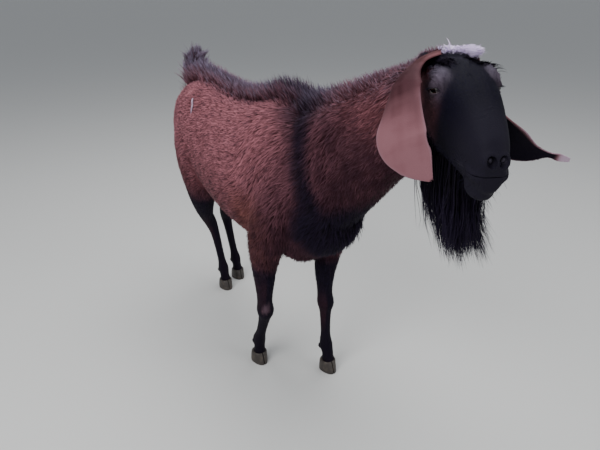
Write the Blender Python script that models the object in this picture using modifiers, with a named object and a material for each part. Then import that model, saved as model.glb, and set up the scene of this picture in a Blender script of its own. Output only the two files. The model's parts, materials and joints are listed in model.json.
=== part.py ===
"""A Nubian goat that stands on its four hooves with its head turned to its right.

It faces +X, its left side is +Y and +Z is up, in metres. The flesh is lofted
through stations along the trunk, neck, head and legs, melted into one form,
and parted by thin cuts where a person would name its parts. The raised hair,
the beard and the tufts are flat locks that taper, bend and overlap.
"""
import math
import random

import bmesh
import bpy
from mathutils import Euler, Matrix, Vector
from mathutils.bvhtree import BVHTree

# Gap that neighbouring pieces keep, and the height of the hooves
GAP = 0.0003
HOOF_HEIGHT = 0.040

# Where each hoof stands, as x and y
RIGHT_FORE_PLACE = (0.090, -0.090)
LEFT_FORE_PLACE = (0.245, 0.080)
RIGHT_HIND_PLACE = (-0.410, 0.010)
LEFT_HIND_PLACE = (-0.465, 0.090)

# The head hangs on its joint with the skull, turned right, nose down and barely rolled
HEAD_JOINT = Vector((0.683, 0.033, 1.004))
HEAD_YAW = math.radians(-25.0)
HEAD_PITCH = math.radians(20.7)
HEAD_ROLL = math.radians(1.0)

# Trunk stations: x, y, top, bottom, half width, belly sag
TRUNK = (
    (-0.512, -0.034, 0.770, 0.690, 0.030, 0.00),
    (-0.490, -0.033, 0.820, 0.625, 0.075, 0.00),
    (-0.450, -0.031, 0.850, 0.568, 0.108, 0.00),
    (-0.380, -0.026, 0.864, 0.522, 0.130, 0.00),
    (-0.300, -0.021, 0.866, 0.492, 0.140, 0.00),
    (-0.200, -0.016, 0.856, 0.472, 0.146, 0.05),
    (-0.100, -0.013, 0.848, 0.460, 0.155, 0.10),
    (0.000, -0.012, 0.850, 0.452, 0.162, 0.12),
    (0.100, -0.012, 0.866, 0.446, 0.158, 0.10),
    (0.180, -0.012, 0.884, 0.438, 0.142, 0.00),
    (0.260, -0.010, 0.876, 0.432, 0.125, -0.05),
    (0.330, -0.008, 0.840, 0.455, 0.112, -0.05),
    (0.390, -0.006, 0.775, 0.495, 0.092, 0.00),
    (0.440, -0.004, 0.700, 0.560, 0.055, 0.00),
)

# Neck stations: x, y, z, half depth, half width
NECK = (
    (0.220, -0.008, 0.690, 0.170, 0.100),
    (0.330, -0.006, 0.722, 0.165, 0.100),
    (0.430, 0.002, 0.785, 0.140, 0.086),
    (0.520, 0.010, 0.852, 0.118, 0.074),
    (0.605, 0.022, 0.908, 0.102, 0.066),
    (0.670, 0.030, 0.955, 0.086, 0.057),
    (0.710, 0.033, 0.985, 0.060, 0.045),
)

# Leg stations from the shoulder or hip down: x, y, z, half depth, half width
RIGHT_FORE = (
    (0.160, -0.068, 0.800, 0.050, 0.030),
    (0.220, -0.092, 0.700, 0.075, 0.045),
    (0.245, -0.104, 0.610, 0.085, 0.052),
    (0.218, -0.118, 0.510, 0.072, 0.046),
    (0.206, -0.121, 0.430, 0.048, 0.036),
    (0.202, -0.120, 0.360, 0.034, 0.028),
    (0.199, -0.119, 0.300, 0.026, 0.023),
    (0.197, -0.117, 0.262, 0.0280, 0.0265),
    (0.180, -0.112, 0.225, 0.0200, 0.0190),
    (0.132, -0.101, 0.142, 0.0172, 0.0162),
    (0.104, -0.095, 0.095, 0.0228, 0.0212),
    (0.098, -0.092, 0.062, 0.0190, 0.0188),
    (0.092, -0.090, 0.030, 0.0222, 0.0217),
)
LEFT_FORE = (
    (0.160, 0.048, 0.800, 0.050, 0.030),
    (0.225, 0.068, 0.700, 0.075, 0.045),
    (0.255, 0.076, 0.610, 0.085, 0.052),
    (0.238, 0.080, 0.510, 0.070, 0.044),
    (0.241, 0.071, 0.430, 0.046, 0.035),
    (0.243, 0.063, 0.360, 0.033, 0.028),
    (0.246, 0.062, 0.300, 0.0255, 0.023),
    (0.250, 0.063, 0.262, 0.0280, 0.0265),
    (0.246, 0.066, 0.225, 0.0200, 0.0190),
    (0.240, 0.072, 0.142, 0.0172, 0.0162),
    (0.237, 0.077, 0.095, 0.0228, 0.0212),
    (0.245, 0.079, 0.062, 0.0190, 0.0188),
    (0.246, 0.080, 0.030, 0.0222, 0.0217),
)
RIGHT_HIND = (
    (-0.330, -0.096, 0.760, 0.105, 0.050),
    (-0.330, -0.112, 0.640, 0.120, 0.055),
    (-0.300, -0.112, 0.520, 0.088, 0.050),
    (-0.332, -0.094, 0.430, 0.058, 0.038),
    (-0.375, -0.068, 0.360, 0.038, 0.027),
    (-0.402, -0.040, 0.305, 0.031, 0.0235),
    (-0.402, -0.024, 0.250, 0.0195, 0.0180),
    (-0.402, -0.006, 0.142, 0.0172, 0.0158),
    (-0.406, 0.002, 0.095, 0.0232, 0.0212),
    (-0.409, 0.007, 0.062, 0.0192, 0.0188),
    (-0.410, 0.010, 0.030, 0.0222, 0.0217),
)
LEFT_HIND = (
    (-0.335, 0.044, 0.760, 0.105, 0.050),
    (-0.340, 0.054, 0.640, 0.120, 0.055),
    (-0.318, 0.052, 0.520, 0.088, 0.050),
    (-0.360, 0.040, 0.430, 0.058, 0.038),
    (-0.408, 0.034, 0.360, 0.038, 0.027),
    (-0.447, 0.044, 0.305, 0.031, 0.0235),
    (-0.451, 0.052, 0.250, 0.0195, 0.0180),
    (-0.456, 0.071, 0.142, 0.0172, 0.0158),
    (-0.460, 0.080, 0.095, 0.0232, 0.0212),
    (-0.464, 0.086, 0.062, 0.0192, 0.0188),
    (-0.465, 0.090, 0.030, 0.0222, 0.0217),
)
HOCK_ROW = 5
FETLOCK_ROW = -3

# Head stations from the neck joint to the nose, in the head's own frame: x, top, bottom, half width
SKULL = (
    (-0.050, 0.022, -0.050, 0.040),
    (-0.020, 0.040, -0.062, 0.050),
    (0.010, 0.051, -0.074, 0.054),
    (0.040, 0.062, -0.085, 0.056),
    (0.070, 0.072, -0.090, 0.056),
    (0.100, 0.079, -0.088, 0.055),
    (0.130, 0.081, -0.082, 0.055),
    (0.160, 0.079, -0.075, 0.052),
    (0.190, 0.074, -0.069, 0.046),
    (0.220, 0.067, -0.065, 0.040),
    (0.245, 0.058, -0.063, 0.035),
    (0.268, 0.047, -0.060, 0.030),
    (0.286, 0.036, -0.050, 0.025),
    (0.298, 0.022, -0.034, 0.018),
)
EYE = Vector((0.112, 0.0465, 0.042))
EYE_RADIUS = 0.0158
EYE_FACING = Vector((0.36, 0.92, 0.12))
LID_THICKNESS = 0.0032
MOUTH_LINE = ((0.212, -0.031), (0.246, -0.017), (0.283, -0.008), (0.300, -0.003), (0.320, 0.000))
MOUTH_GAP = 0.0016

# Ear stations: x, y, z, half width along the skin, curl in degrees, bearing of the outer side in degrees
RIGHT_EAR = (
    (0.690, 0.000, 1.045, 0.030, 290, 215),
    (0.710, -0.069, 1.035, 0.030, 230, 240),
    (0.730, -0.124, 1.007, 0.054, 125, 268),
    (0.759, -0.139, 0.965, 0.050, 55, 286),
    (0.781, -0.146, 0.922, 0.054, 32, 294),
    (0.809, -0.131, 0.890, 0.034, 26, 298),
    (0.833, -0.117, 0.867, 0.004, 24, 300),
)
LEFT_EAR = (
    (0.708, 0.054, 1.030, 0.040, 290, 120),
    (0.724, 0.088, 0.990, 0.042, 230, 108),
    (0.742, 0.112, 0.935, 0.047, 150, 104),
    (0.769, 0.137, 0.891, 0.048, 85, 104),
    (0.797, 0.168, 0.865, 0.025, 45, 112),
    (0.822, 0.195, 0.860, 0.006, 20, 118),
    (0.837, 0.213, 0.855, 0.0075, 20, 120),
    (0.850, 0.228, 0.851, 0.004, 20, 120),
)
EAR_THICKNESS = 0.0030

# Tail stations: x, y, z, half depth, half width
TAIL = (
    (-0.425, -0.030, 0.800, 0.028, 0.032),
    (-0.465, -0.032, 0.835, 0.028, 0.036),
    (-0.480, -0.034, 0.865, 0.023, 0.030),
    (-0.480, -0.034, 0.890, 0.016, 0.020),
    (-0.476, -0.034, 0.906, 0.006, 0.008),
)

# Hoof stations from the sole up: height, set ahead, half length, half width, taper to the toe
HOOF = (
    (0.000, 0.006, 0.030, 0.0240, 0.28),
    (0.012, 0.005, 0.030, 0.0245, 0.26),
    (0.028, 0.002, 0.027, 0.0240, 0.15),
    (HOOF_HEIGHT - GAP, 0.000, 0.024, 0.0235, 0.00),
)
HOOF_SIDES = 16
HOOF_CLEFT = 0.0026

# Cuts between the trunk and what grows from it
NECK_CUT = Vector((0.305, 0.0, 0.725))
NECK_CUT_NORMAL = Vector((0.862, 0.0, 0.507))
HEAD_CUT = Vector((-0.012, 0.0, 0.0))
HEAD_CUT_NORMAL = Vector((0.941, 0.0, 0.339))
FORE_CUT = Vector((0.22, 0.0, 0.420))
HIND_CUT = Vector((-0.360, 0.0, 0.500))
HIND_CUT_SLOPE = 0.50
LEG_CUT_SIZE = (0.42, 0.60, GAP)

BODY_VOXEL = 0.006
HEAD_VOXEL = 0.003
BODY_TRIANGLES = 3900
HEAD_TRIANGLES = 1550

# Raised hair of neck, back and rump: x, y of its middle, length of a lock
NECK_HAIR = (
    (0.262, -0.008, 0.064),
    (0.345, -0.004, 0.050),
    (0.463, 0.006, 0.034),
    (0.560, 0.016, 0.020),
    (0.606, 0.022, 0.018),
)
BACK_HAIR = (
    (0.158, -0.012, 0.068),
    (0.080, -0.012, 0.064),
    (-0.060, -0.013, 0.054),
    (-0.200, -0.016, 0.046),
    (-0.280, -0.020, 0.048),
    (-0.335, -0.023, 0.054),
    (-0.374, -0.026, 0.058),
)
HAIR_STEP = 0.050
HAIR_COLUMNS = (-0.024, 0.0, 0.024)
HAIR_LEAN = Vector((-0.62, 0.0, 0.785))
HAIR_WIDTH = 0.056

# Beard: x of its rows along the jaw, y of its columns, length of a lock in each row
BEARD_ROWS = ((0.080, 0.155), (0.106, 0.182), (0.132, 0.195), (0.158, 0.190), (0.182, 0.165))
BEARD_COLUMNS = (-0.025, -0.009, 0.008, 0.023)
BEARD_WIDTH = 0.036
BEARD_SWEEP = 2.0
BEARD_CORE = (
    (0.772, -0.008, 0.895, 0.050, 0.030),
    (0.776, -0.010, 0.850, 0.046, 0.028),
    (0.785, -0.014, 0.800, 0.034, 0.020),
    (0.790, -0.016, 0.775, 0.012, 0.008),
)

# Tuft on the poll, fringe of the breast, brush of the tail
POLL_ROWS = (0.008, 0.022, 0.036)
POLL_COLUMNS = (-0.004, 0.011, 0.026)
POLL_SIZE = (0.028, 0.020)
FRINGE_ROWS = (0.225, 0.262, 0.300, 0.335)
FRINGE_COLUMNS = (-0.045, -0.018, 0.009)
FRINGE_SIZE = (0.050, 0.036)
BRUSH_RINGS = ((0.852, 0.056), (0.884, 0.058))
BRUSH_SIDES = 5
BRUSH_WIDTH = 0.026

# A lock's shape: share along it and share of its width, then its thickness, root and sway
LOCK_PROFILE = ((0.0, 0.80), (0.34, 1.0), (0.70, 0.82), (0.90, 0.42))
LOCK_THICKNESS = 0.28
LOCK_ROOT = 0.012
LOCK_SWAY = 0.16
SEED = 11

UP = Vector((0.0, 0.0, 1.0))
LEFT = Vector((0.0, 1.0, 0.0))

# Base colour and roughness of each finish
FINISHES = {
    "mahogany coat": ((0.125, 0.052, 0.040), 0.75),
    "dark coat": ((0.018, 0.013, 0.014), 0.70),
    "tan ear": ((0.240, 0.140, 0.125), 0.70),
    "hoof": ((0.030, 0.025, 0.022), 0.45),
    "eye": ((0.100, 0.060, 0.020), 0.12),
}


def head_matrix():
    """The head's place and turn."""
    turn = Euler((0, 0, HEAD_YAW)).to_matrix() @ Euler((0, HEAD_PITCH, 0)).to_matrix()
    turn = turn @ Euler((HEAD_ROLL, 0, 0)).to_matrix()
    return Matrix.Translation(HEAD_JOINT) @ turn.to_4x4()


def clear_scene():
    """Remove what the scene holds."""
    for obj in list(bpy.data.objects):
        bpy.data.objects.remove(obj, do_unlink=True)


def collection(name):
    """A collection in the scene."""
    made = bpy.data.collections.new(name)
    bpy.context.scene.collection.children.link(made)
    return made


def new_object(name, bm, home):
    """An object that holds a mesh, which is freed."""
    mesh = bpy.data.meshes.new(name)
    bm.to_mesh(mesh)
    bm.free()
    obj = bpy.data.objects.new(name, mesh)
    home.objects.link(obj)
    return obj


def bake(obj):
    """Make what an object's modifiers show its own mesh."""
    bpy.context.view_layer.update()
    graph = bpy.context.evaluated_depsgraph_get()
    mesh = bpy.data.meshes.new_from_object(obj.evaluated_get(graph))
    old = obj.data
    obj.modifiers.clear()
    obj.data = mesh
    bpy.data.meshes.remove(old)


def smooth_rows(rows, steps):
    """Rows read along one smooth curve through the given rows."""
    padded = [rows[0]] + list(rows) + [rows[-1]]
    read = []
    for a, b, c, d in zip(padded, padded[1:], padded[2:], padded[3:]):
        for step in range(steps):
            t = step / steps
            read.append(tuple(
                q + 0.5 * t * (r - p + t * (2 * p - 5 * q + 4 * r - s + t * (3 * (q - r) + s - p)))
                for p, q, r, s in zip(a, b, c, d)))
    read.append(tuple(rows[-1]))
    return read


def rounded(value, power):
    """A coordinate of a superellipse of the given power."""
    return math.copysign(abs(value) ** (2.0 / power), value)


def loft(bm, rings, tip=None):
    """Close a run of equal rings of points into one solid, cut flat or drawn to a tip."""
    loops = [[bm.verts.new(point) for point in ring] for ring in rings]
    count = len(loops[0])
    for one, two in zip(loops, loops[1:]):
        for k in range(count):
            after = (k + 1) % count
            bm.faces.new((one[k], one[after], two[after], two[k]))
    bm.faces.new(list(reversed(loops[0])))
    if tip is None:
        bm.faces.new(loops[-1])
    else:
        point = bm.verts.new(tip)
        for k in range(count):
            bm.faces.new((loops[-1][k], loops[-1][(k + 1) % count], point))
    bmesh.ops.recalc_face_normals(bm, faces=bm.faces)


def tube(rows, steps=4, sides=20, power=2.2):
    """A limb or trunk: superellipse rings across a smooth path.

    A row holds x, y, z, the half depth, the half width and, for a trunk, how
    much wider the ring is below its middle than above it.
    """
    rows = smooth_rows([tuple(row) + (0.0,) * (6 - len(row)) for row in rows], steps)
    centres = [Vector(row[:3]) for row in rows]
    rings = []
    for i, row in enumerate(rows):
        ahead = (centres[min(i + 1, len(rows) - 1)] - centres[max(i - 1, 0)]).normalized()
        side = (LEFT - ahead * ahead.y).normalized()
        top = ahead.cross(side)
        ring = []
        for k in range(sides):
            angle = 2 * math.pi * k / sides
            across = rounded(math.cos(angle), power)
            along = rounded(math.sin(angle), power)
            ring.append(centres[i] + side * row[4] * across * (1 - row[5] * along) + top * row[3] * along)
        rings.append(ring)
    bm = bmesh.new()
    loft(bm, rings)
    return bm


def ball(centre, radii, turn=Matrix()):
    """An ellipsoid of flesh."""
    bm = bmesh.new()
    place = Matrix.Translation(centre) @ turn.to_4x4() @ Matrix.Diagonal((*radii, 1.0))
    bmesh.ops.create_uvsphere(bm, u_segments=16, v_segments=10, radius=1.0, matrix=place)
    return bm


def box(centre, size, turn=Matrix()):
    """A block, also thin as a sheet, for cuts."""
    bm = bmesh.new()
    place = Matrix.Translation(centre) @ turn.to_4x4() @ Matrix.Diagonal((*size, 1.0))
    bmesh.ops.create_cube(bm, size=1.0, matrix=place)
    return bm


def sheet(centre, normal, size):
    """A sheet as thick as the gap, square to a direction."""
    turn = normal.to_track_quat("X", "Z").to_matrix()
    return box(centre, (GAP, size, size), turn)


def joined(masses):
    """One mesh of many closed shapes that may overlap."""
    whole = bmesh.new()
    for mass in masses:
        mesh = bpy.data.meshes.new("mass")
        mass.to_mesh(mesh)
        mass.free()
        whole.from_mesh(mesh)
        bpy.data.meshes.remove(mesh)
    return whole


def melt(name, masses, voxel, rounds, triangles, home):
    """One smooth skin round overlapping masses, thinned to about the given triangles."""
    obj = new_object(name, joined(masses), home)
    remesh = obj.modifiers.new("skin", "REMESH")
    remesh.mode = "VOXEL"
    remesh.voxel_size = voxel
    smooth = obj.modifiers.new("smooth", "SMOOTH")
    smooth.factor = 0.5
    smooth.iterations = rounds
    bake(obj)
    thin = obj.modifiers.new("thin", "DECIMATE")
    thin.ratio = triangles / (2.0 * len(obj.data.polygons))
    thin.use_collapse_triangulate = True
    bake(obj)
    return obj


def combine(obj, masses, operation, solver="EXACT"):
    """Join closed shapes to an object or cut them from it, in one Boolean."""
    operands = collection("operands")
    for mass in masses:
        new_object("operand", mass, operands)
    boolean = obj.modifiers.new("combine", "BOOLEAN")
    boolean.operation = operation
    boolean.operand_type = "COLLECTION"
    boolean.collection = operands
    boolean.solver = solver
    bake(obj)
    for operand in list(operands.objects):
        bpy.data.objects.remove(operand, do_unlink=True)
    bpy.data.collections.remove(operands)


def islands(bm):
    """The faces of each closed surface."""
    waiting = set(bm.faces)
    groups = []
    while waiting:
        front = [waiting.pop()]
        group = []
        while front:
            face = front.pop()
            group.append(face)
            for edge in face.edges:
                for other in edge.link_faces:
                    if other in waiting:
                        waiting.remove(other)
                        front.append(other)
        groups.append(group)
    return groups


def middle(faces):
    """The middle of the box round some faces."""
    points = [vert.co for face in faces for vert in face.verts]
    low = Vector([min(p[axis] for p in points) for axis in range(3)])
    high = Vector([max(p[axis] for p in points) for axis in range(3)])
    return (low + high) / 2


def take_island(source, name, near, home):
    """A new object of the surface whose box is centred nearest to a point."""
    bm = bmesh.new()
    bm.from_mesh(source.data)
    groups = islands(bm)
    chosen = min(groups, key=lambda faces: (middle(faces) - Vector(near)).length)
    dropped = [face for faces in groups if faces is not chosen for face in faces]
    bmesh.ops.delete(bm, geom=dropped, context="FACES")
    return new_object(name, bm, home)


def keep_largest(obj):
    """Leave an object only its closed surface with the most faces."""
    bm = bmesh.new()
    bm.from_mesh(obj.data)
    groups = islands(bm)
    largest = max(groups, key=len)
    dropped = [face for faces in groups if faces is not largest for face in faces]
    bmesh.ops.delete(bm, geom=dropped, context="FACES")
    bm.to_mesh(obj.data)
    bm.free()


def grown(obj, amount):
    """A copy of an object's shape, a little larger all round."""
    bm = bmesh.new()
    bm.from_mesh(obj.data)
    bmesh.ops.recalc_face_normals(bm, faces=bm.faces)
    bm.normal_update()
    moves = [vert.normal * vert.calc_shell_factor() * amount for vert in bm.verts]
    for vert, move in zip(bm.verts, moves):
        vert.co += move
    return bm


def trunk_rows():
    """The trunk as rows of a tube along +X."""
    return [(x, y, (top + bottom) / 2, (top - bottom) / 2, half, sag)
            for x, y, top, bottom, half, sag in TRUNK]


def skull_rows():
    """The head as rows of a tube along its own +X."""
    return [(x, 0.0, (top + bottom) / 2, (top - bottom) / 2, half, -0.12)
            for x, top, bottom, half in SKULL]


def dewclaws(fetlock):
    """The two small claws behind a fetlock."""
    x, y, z = fetlock[:3]
    return [ball(Vector((x - 0.018, y + across, z - 0.014)), (0.009, 0.007, 0.011))
            for across in (-0.012, 0.012)]


def leg_masses():
    """All four legs, with the muscles of shoulder and thigh, the hocks and the dewclaws."""
    legs = (RIGHT_FORE, LEFT_FORE, RIGHT_HIND, LEFT_HIND)
    masses = [tube(rows) for rows in legs]
    for rows in legs:
        masses += dewclaws(rows[FETLOCK_ROW])
    for rows in (RIGHT_HIND, LEFT_HIND):
        x, y, z = rows[HOCK_ROW][:3]
        masses.append(ball(Vector((x - 0.022, y, z + 0.018)), (0.016, 0.014, 0.030)))
    return masses


def trunk_masses():
    """Trunk and neck with the points of hip, seat and breast."""
    masses = [tube(trunk_rows(), sides=28, power=2.3), tube(NECK, sides=24)]
    for side in (-1, 1):
        masses.append(ball(Vector((-0.290, -0.020 + side * 0.086, 0.786)), (0.060, 0.036, 0.046)))
        masses.append(ball(Vector((-0.438, -0.030 + side * 0.062, 0.752)), (0.040, 0.034, 0.046)))
        masses.append(ball(Vector((0.335, -0.008 + side * 0.060, 0.610)), (0.055, 0.045, 0.060)))
    return masses


def head_masses():
    """The skull with brows, temples, cheeks, nostril wings, lips and ear roots."""
    masses = [tube(skull_rows(), sides=24, power=2.5)]
    for side in (-1, 1):
        masses.append(ball(Vector((0.100, side * 0.042, 0.057)), (0.038, 0.018, 0.018)))
        masses.append(ball(Vector((0.070, side * 0.043, 0.026)), (0.048, 0.020, 0.034)))
        masses.append(ball(Vector((0.124, side * 0.0435, 0.026)), (0.036, 0.0165, 0.024)))
        masses.append(ball(Vector((0.070, side * 0.036, -0.042)), (0.048, 0.020, 0.038)))
        masses.append(ball(Vector((0.276, side * 0.0165, 0.016)), (0.020, 0.0105, 0.016)))
        masses.append(ball(Vector((0.268, side * 0.018, -0.012)), (0.030, 0.018, 0.014)))
        masses.append(ball(Vector((0.012, side * 0.043, 0.034)), (0.026, 0.017, 0.022)))
    masses.append(ball(Vector((0.264, -0.002, -0.048)), (0.033, 0.026, 0.020)))
    masses.append(ball(Vector((0.030, 0.0, 0.052)), (0.050, 0.034, 0.014)))
    for mass in masses:
        mass.transform(head_matrix())
    return masses


def cut_sheets():
    """The thin sheets that part the neck, head and legs."""
    head = head_matrix()
    cuts = [
        sheet(NECK_CUT, NECK_CUT_NORMAL, 1.0),
        sheet(head @ HEAD_CUT, head.to_3x3() @ HEAD_CUT_NORMAL, 0.6),
        box(Vector((0.0, 0.0, HOOF_HEIGHT / 2 - 0.05)), (2.0, 1.0, HOOF_HEIGHT + 0.1)),
    ]
    slope = Matrix.Rotation(math.atan(HIND_CUT_SLOPE), 4, "Y")
    cuts.append(box(FORE_CUT, LEG_CUT_SIZE))
    cuts.append(box(HIND_CUT, LEG_CUT_SIZE, slope))
    return cuts


def make_flesh(home, guides):
    """Trunk, neck and legs, melted whole and then parted."""
    body = melt("body", trunk_masses() + leg_masses() + head_masses(), BODY_VOXEL, 6,
                BODY_TRIANGLES, guides)
    combine(body, cut_sheets(), "DIFFERENCE")
    places = {
        "torso": (-0.05, 0.0, 0.65),
        "neck": (0.50, 0.0, 0.84),
        "right_foreleg": (0.16, -0.11, 0.23),
        "left_foreleg": (0.24, 0.07, 0.23),
        "right_hindleg": (-0.36, -0.05, 0.27),
        "left_hindleg": (-0.39, 0.07, 0.27),
    }
    nodes = {name: take_island(body, name, near, home) for name, near in places.items()}
    bpy.data.objects.remove(body, do_unlink=True)
    return nodes


def eye_turn(side):
    """The turn that takes +X to where an eye faces, with its slit along the head."""
    facing = Vector((EYE_FACING.x, EYE_FACING.y * side, EYE_FACING.z)).normalized()
    return facing.to_track_quat("X", "Z").to_matrix()


def eye_centre(side):
    """The middle of an eye in the head's frame."""
    return Vector((EYE.x, EYE.y * side, EYE.z))


def mouth_cutter():
    """A thin curved slab along the line of the mouth."""
    half = 0.05
    rings = []
    for x, z in smooth_rows(MOUTH_LINE, 2):
        rings.append([Vector((x, y, z + up)) for y, up in (
            (-half, -MOUTH_GAP / 2), (half, -MOUTH_GAP / 2), (half, MOUTH_GAP / 2), (-half, MOUTH_GAP / 2))])
    bm = bmesh.new()
    loft(bm, rings)
    return bm


def make_head(home, guides):
    """The head with its lids, sockets, nostrils and mouth."""
    melted = melt("head melt", head_masses() + [tube(NECK, sides=24)], HEAD_VOXEL, 5,
                  HEAD_TRIANGLES, guides)
    place = head_matrix()
    combine(melted, [sheet(place @ HEAD_CUT, place.to_3x3() @ HEAD_CUT_NORMAL, 0.6)], "DIFFERENCE")
    head = take_island(melted, "head", place @ Vector((0.13, 0.0, 0.0)), home)
    bpy.data.objects.remove(melted, do_unlink=True)
    lids = [ball(eye_centre(side), [EYE_RADIUS + LID_THICKNESS] * 3) for side in (-1, 1)]
    for lid in lids:
        lid.transform(place)
    combine(head, lids, "UNION")
    keep_largest(head)
    cuts = [mouth_cutter()]
    for side in (-1, 1):
        turn = eye_turn(side)
        tilt = Matrix.Rotation(side * math.radians(12), 3, "X")
        ahead = turn @ Vector((EYE_RADIUS, 0.0, 0.0))
        cuts.append(ball(eye_centre(side), [EYE_RADIUS + GAP] * 3, turn))
        cuts.append(ball(eye_centre(side) + ahead, (0.016, 0.0125, 0.0080), turn @ tilt))
        cuts.append(ball(Vector((0.291, side * 0.0135, 0.023)), (0.012, 0.0045, 0.0065),
                         Matrix.Rotation(side * math.radians(20), 3, "Z")))
    for cut in cuts:
        cut.transform(place)
    combine(head, cuts, "DIFFERENCE")
    keep_largest(head)
    return head


def make_eye(name, side, home):
    """An eyeball in its socket."""
    bm = ball(eye_centre(side), [EYE_RADIUS] * 3, eye_turn(side))
    bm.transform(head_matrix())
    return new_object(name, bm, home)


def make_ear(name, rows, head, home):
    """A long ear: a curled sheet of skin, a tube at its root and open below."""
    rows = smooth_rows(rows, 2)
    columns = 8
    centres = [Vector(row[:3]) for row in rows]
    bm = bmesh.new()
    grid = []
    for i, row in enumerate(rows):
        down = (centres[min(i + 1, len(rows) - 1)] - centres[max(i - 1, 0)]).normalized()
        half, curl, bearing = row[3], math.radians(row[4]), math.radians(row[5])
        out = Vector((math.cos(bearing), math.sin(bearing), 0.0))
        out = (out - down * out.dot(down)).normalized()
        across = down.cross(out)
        radius = 2 * half / curl
        line = []
        for k in range(columns + 1):
            angle = curl * (k / columns - 0.5)
            point = centres[i] + across * radius * math.sin(angle) - out * radius * (1 - math.cos(angle))
            line.append(bm.verts.new(point))
        grid.append(line)
    for one, two in zip(grid, grid[1:]):
        for k in range(columns):
            bm.faces.new((one[k], one[k + 1], two[k + 1], two[k]))
    bmesh.ops.triangulate(bm, faces=bm.faces)
    ear = new_object(name, bm, home)
    skin = ear.modifiers.new("skin", "SOLIDIFY")
    skin.thickness = EAR_THICKNESS
    skin.offset = 0.0
    bake(ear)
    combine(ear, [grown(head, GAP)], "DIFFERENCE")
    keep_largest(ear)
    return ear


def make_tail(torso, home):
    """The tail, carried upright."""
    tail = new_object("tail", tube(TAIL, steps=2, sides=12), home)
    combine(tail, [grown(torso, GAP)], "DIFFERENCE")
    keep_largest(tail)
    return tail


def lock(root, out, lie, face, size, rng):
    """A flat lock that leaves the skin along out, bends to lie and shows its flat to face."""
    length, width = [value * rng.uniform(0.85, 1.15) for value in size]
    sway = Vector([rng.uniform(-LOCK_SWAY, LOCK_SWAY) for _ in range(3)])
    lie = (lie.normalized() + sway).normalized()
    out = out.normalized()
    point = root - out * LOCK_ROOT
    rings = []
    passed = 0.0
    for share, wide in LOCK_PROFILE:
        ahead = out.lerp(lie, share).normalized()
        point = point + ahead * (share - passed) * (length + LOCK_ROOT)
        passed = share
        across = ahead.cross(face).normalized() * width * wide / 2
        thin = across.cross(ahead).normalized() * width * wide * LOCK_THICKNESS / 2
        rings.append([point + across, point + thin, point - across, point - thin])
    bm = bmesh.new()
    loft(bm, rings, point + lie * (1.0 - passed) * (length + LOCK_ROOT))
    bmesh.ops.triangulate(bm, faces=bm.faces)
    return bm


def skin_tree(obj):
    """A tree of an object's faces, for finding where a lock grows."""
    bm = bmesh.new()
    bm.from_mesh(obj.data)
    tree = BVHTree.FromBMesh(bm)
    bm.free()
    return tree


def hair_locks(obj, rows, rng):
    """Raised hair along the top of a piece, in columns that fan out to both sides."""
    tree = skin_tree(obj)
    count = round(abs(rows[0][0] - rows[-1][0]) / HAIR_STEP)
    curve = smooth_rows(rows, 12)
    locks = []
    for i in range(count + 1):
        wanted = rows[0][0] + (rows[-1][0] - rows[0][0]) * i / count
        x, y, length = min(curve, key=lambda row: abs(row[0] - wanted))
        for k, column in enumerate(HAIR_COLUMNS):
            stagger = (k - 1) * HAIR_STEP / 3 + rng.uniform(-0.006, 0.006)
            above = Vector((x + stagger, y + column + rng.uniform(-0.005, 0.005), 1.3))
            root, out, _, _ = tree.ray_cast(above, -UP)
            lie = HAIR_LEAN + LEFT * column * 8
            face = LEFT + UP.cross(LEFT) * rng.uniform(-0.45, 0.45)
            locks.append(lock(root, out + HAIR_LEAN, lie, face, (length, HAIR_WIDTH), rng))
    return locks


def beard_locks(head, rng):
    """The beard: locks that hang from the jaw round a short core."""
    tree = skin_tree(head)
    place = head_matrix()
    inward = place.to_3x3() @ UP
    locks = [tube(BEARD_CORE)]
    for x, length in BEARD_ROWS:
        for y in BEARD_COLUMNS:
            below = place @ Vector((x + rng.uniform(-0.005, 0.005), y, -0.2))
            root, out, _, _ = tree.ray_cast(below, inward)
            turn = rng.uniform(-0.9, 0.9)
            face = Vector((math.sin(turn), math.cos(turn), 0.0))
            lie = Vector((0.04 + (BEARD_ROWS[-1][0] - x) * BEARD_SWEEP, -y * 3, -1.0))
            locks.append(lock(root, out * 0.3 - UP, lie, face, (length, BEARD_WIDTH), rng))
    return locks


def poll_locks(head, rng):
    """The tuft between the ears."""
    tree = skin_tree(head)
    place = head_matrix()
    upward = place.to_3x3() @ UP
    locks = []
    for x in POLL_ROWS:
        for y in POLL_COLUMNS:
            above = place @ Vector((x, y + rng.uniform(-0.003, 0.003), 0.2))
            root, out, _, _ = tree.ray_cast(above, -upward)
            lie = place.to_3x3() @ Vector((1.0, y * 10, 0.12))
            face = place.to_3x3() @ Vector((0.0, rng.uniform(-0.5, 0.5), 1.0))
            locks.append(lock(root, out, lie, face, POLL_SIZE, rng))
    return locks


def fringe_locks(torso, rng):
    """Hair that hangs from the breast ahead of the forelegs."""
    tree = skin_tree(torso)
    locks = []
    for x in FRINGE_ROWS:
        for y in FRINGE_COLUMNS:
            below = Vector((x + rng.uniform(-0.006, 0.006), y + rng.uniform(-0.006, 0.006), 0.2))
            root, out, _, _ = tree.ray_cast(below, UP)
            turn = rng.uniform(-0.9, 0.9)
            face = Vector((math.sin(turn), math.cos(turn), 0.0))
            locks.append(lock(root, out - UP, Vector((-0.25, 0.0, -1.0)), face, FRINGE_SIZE, rng))
    return locks


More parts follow.
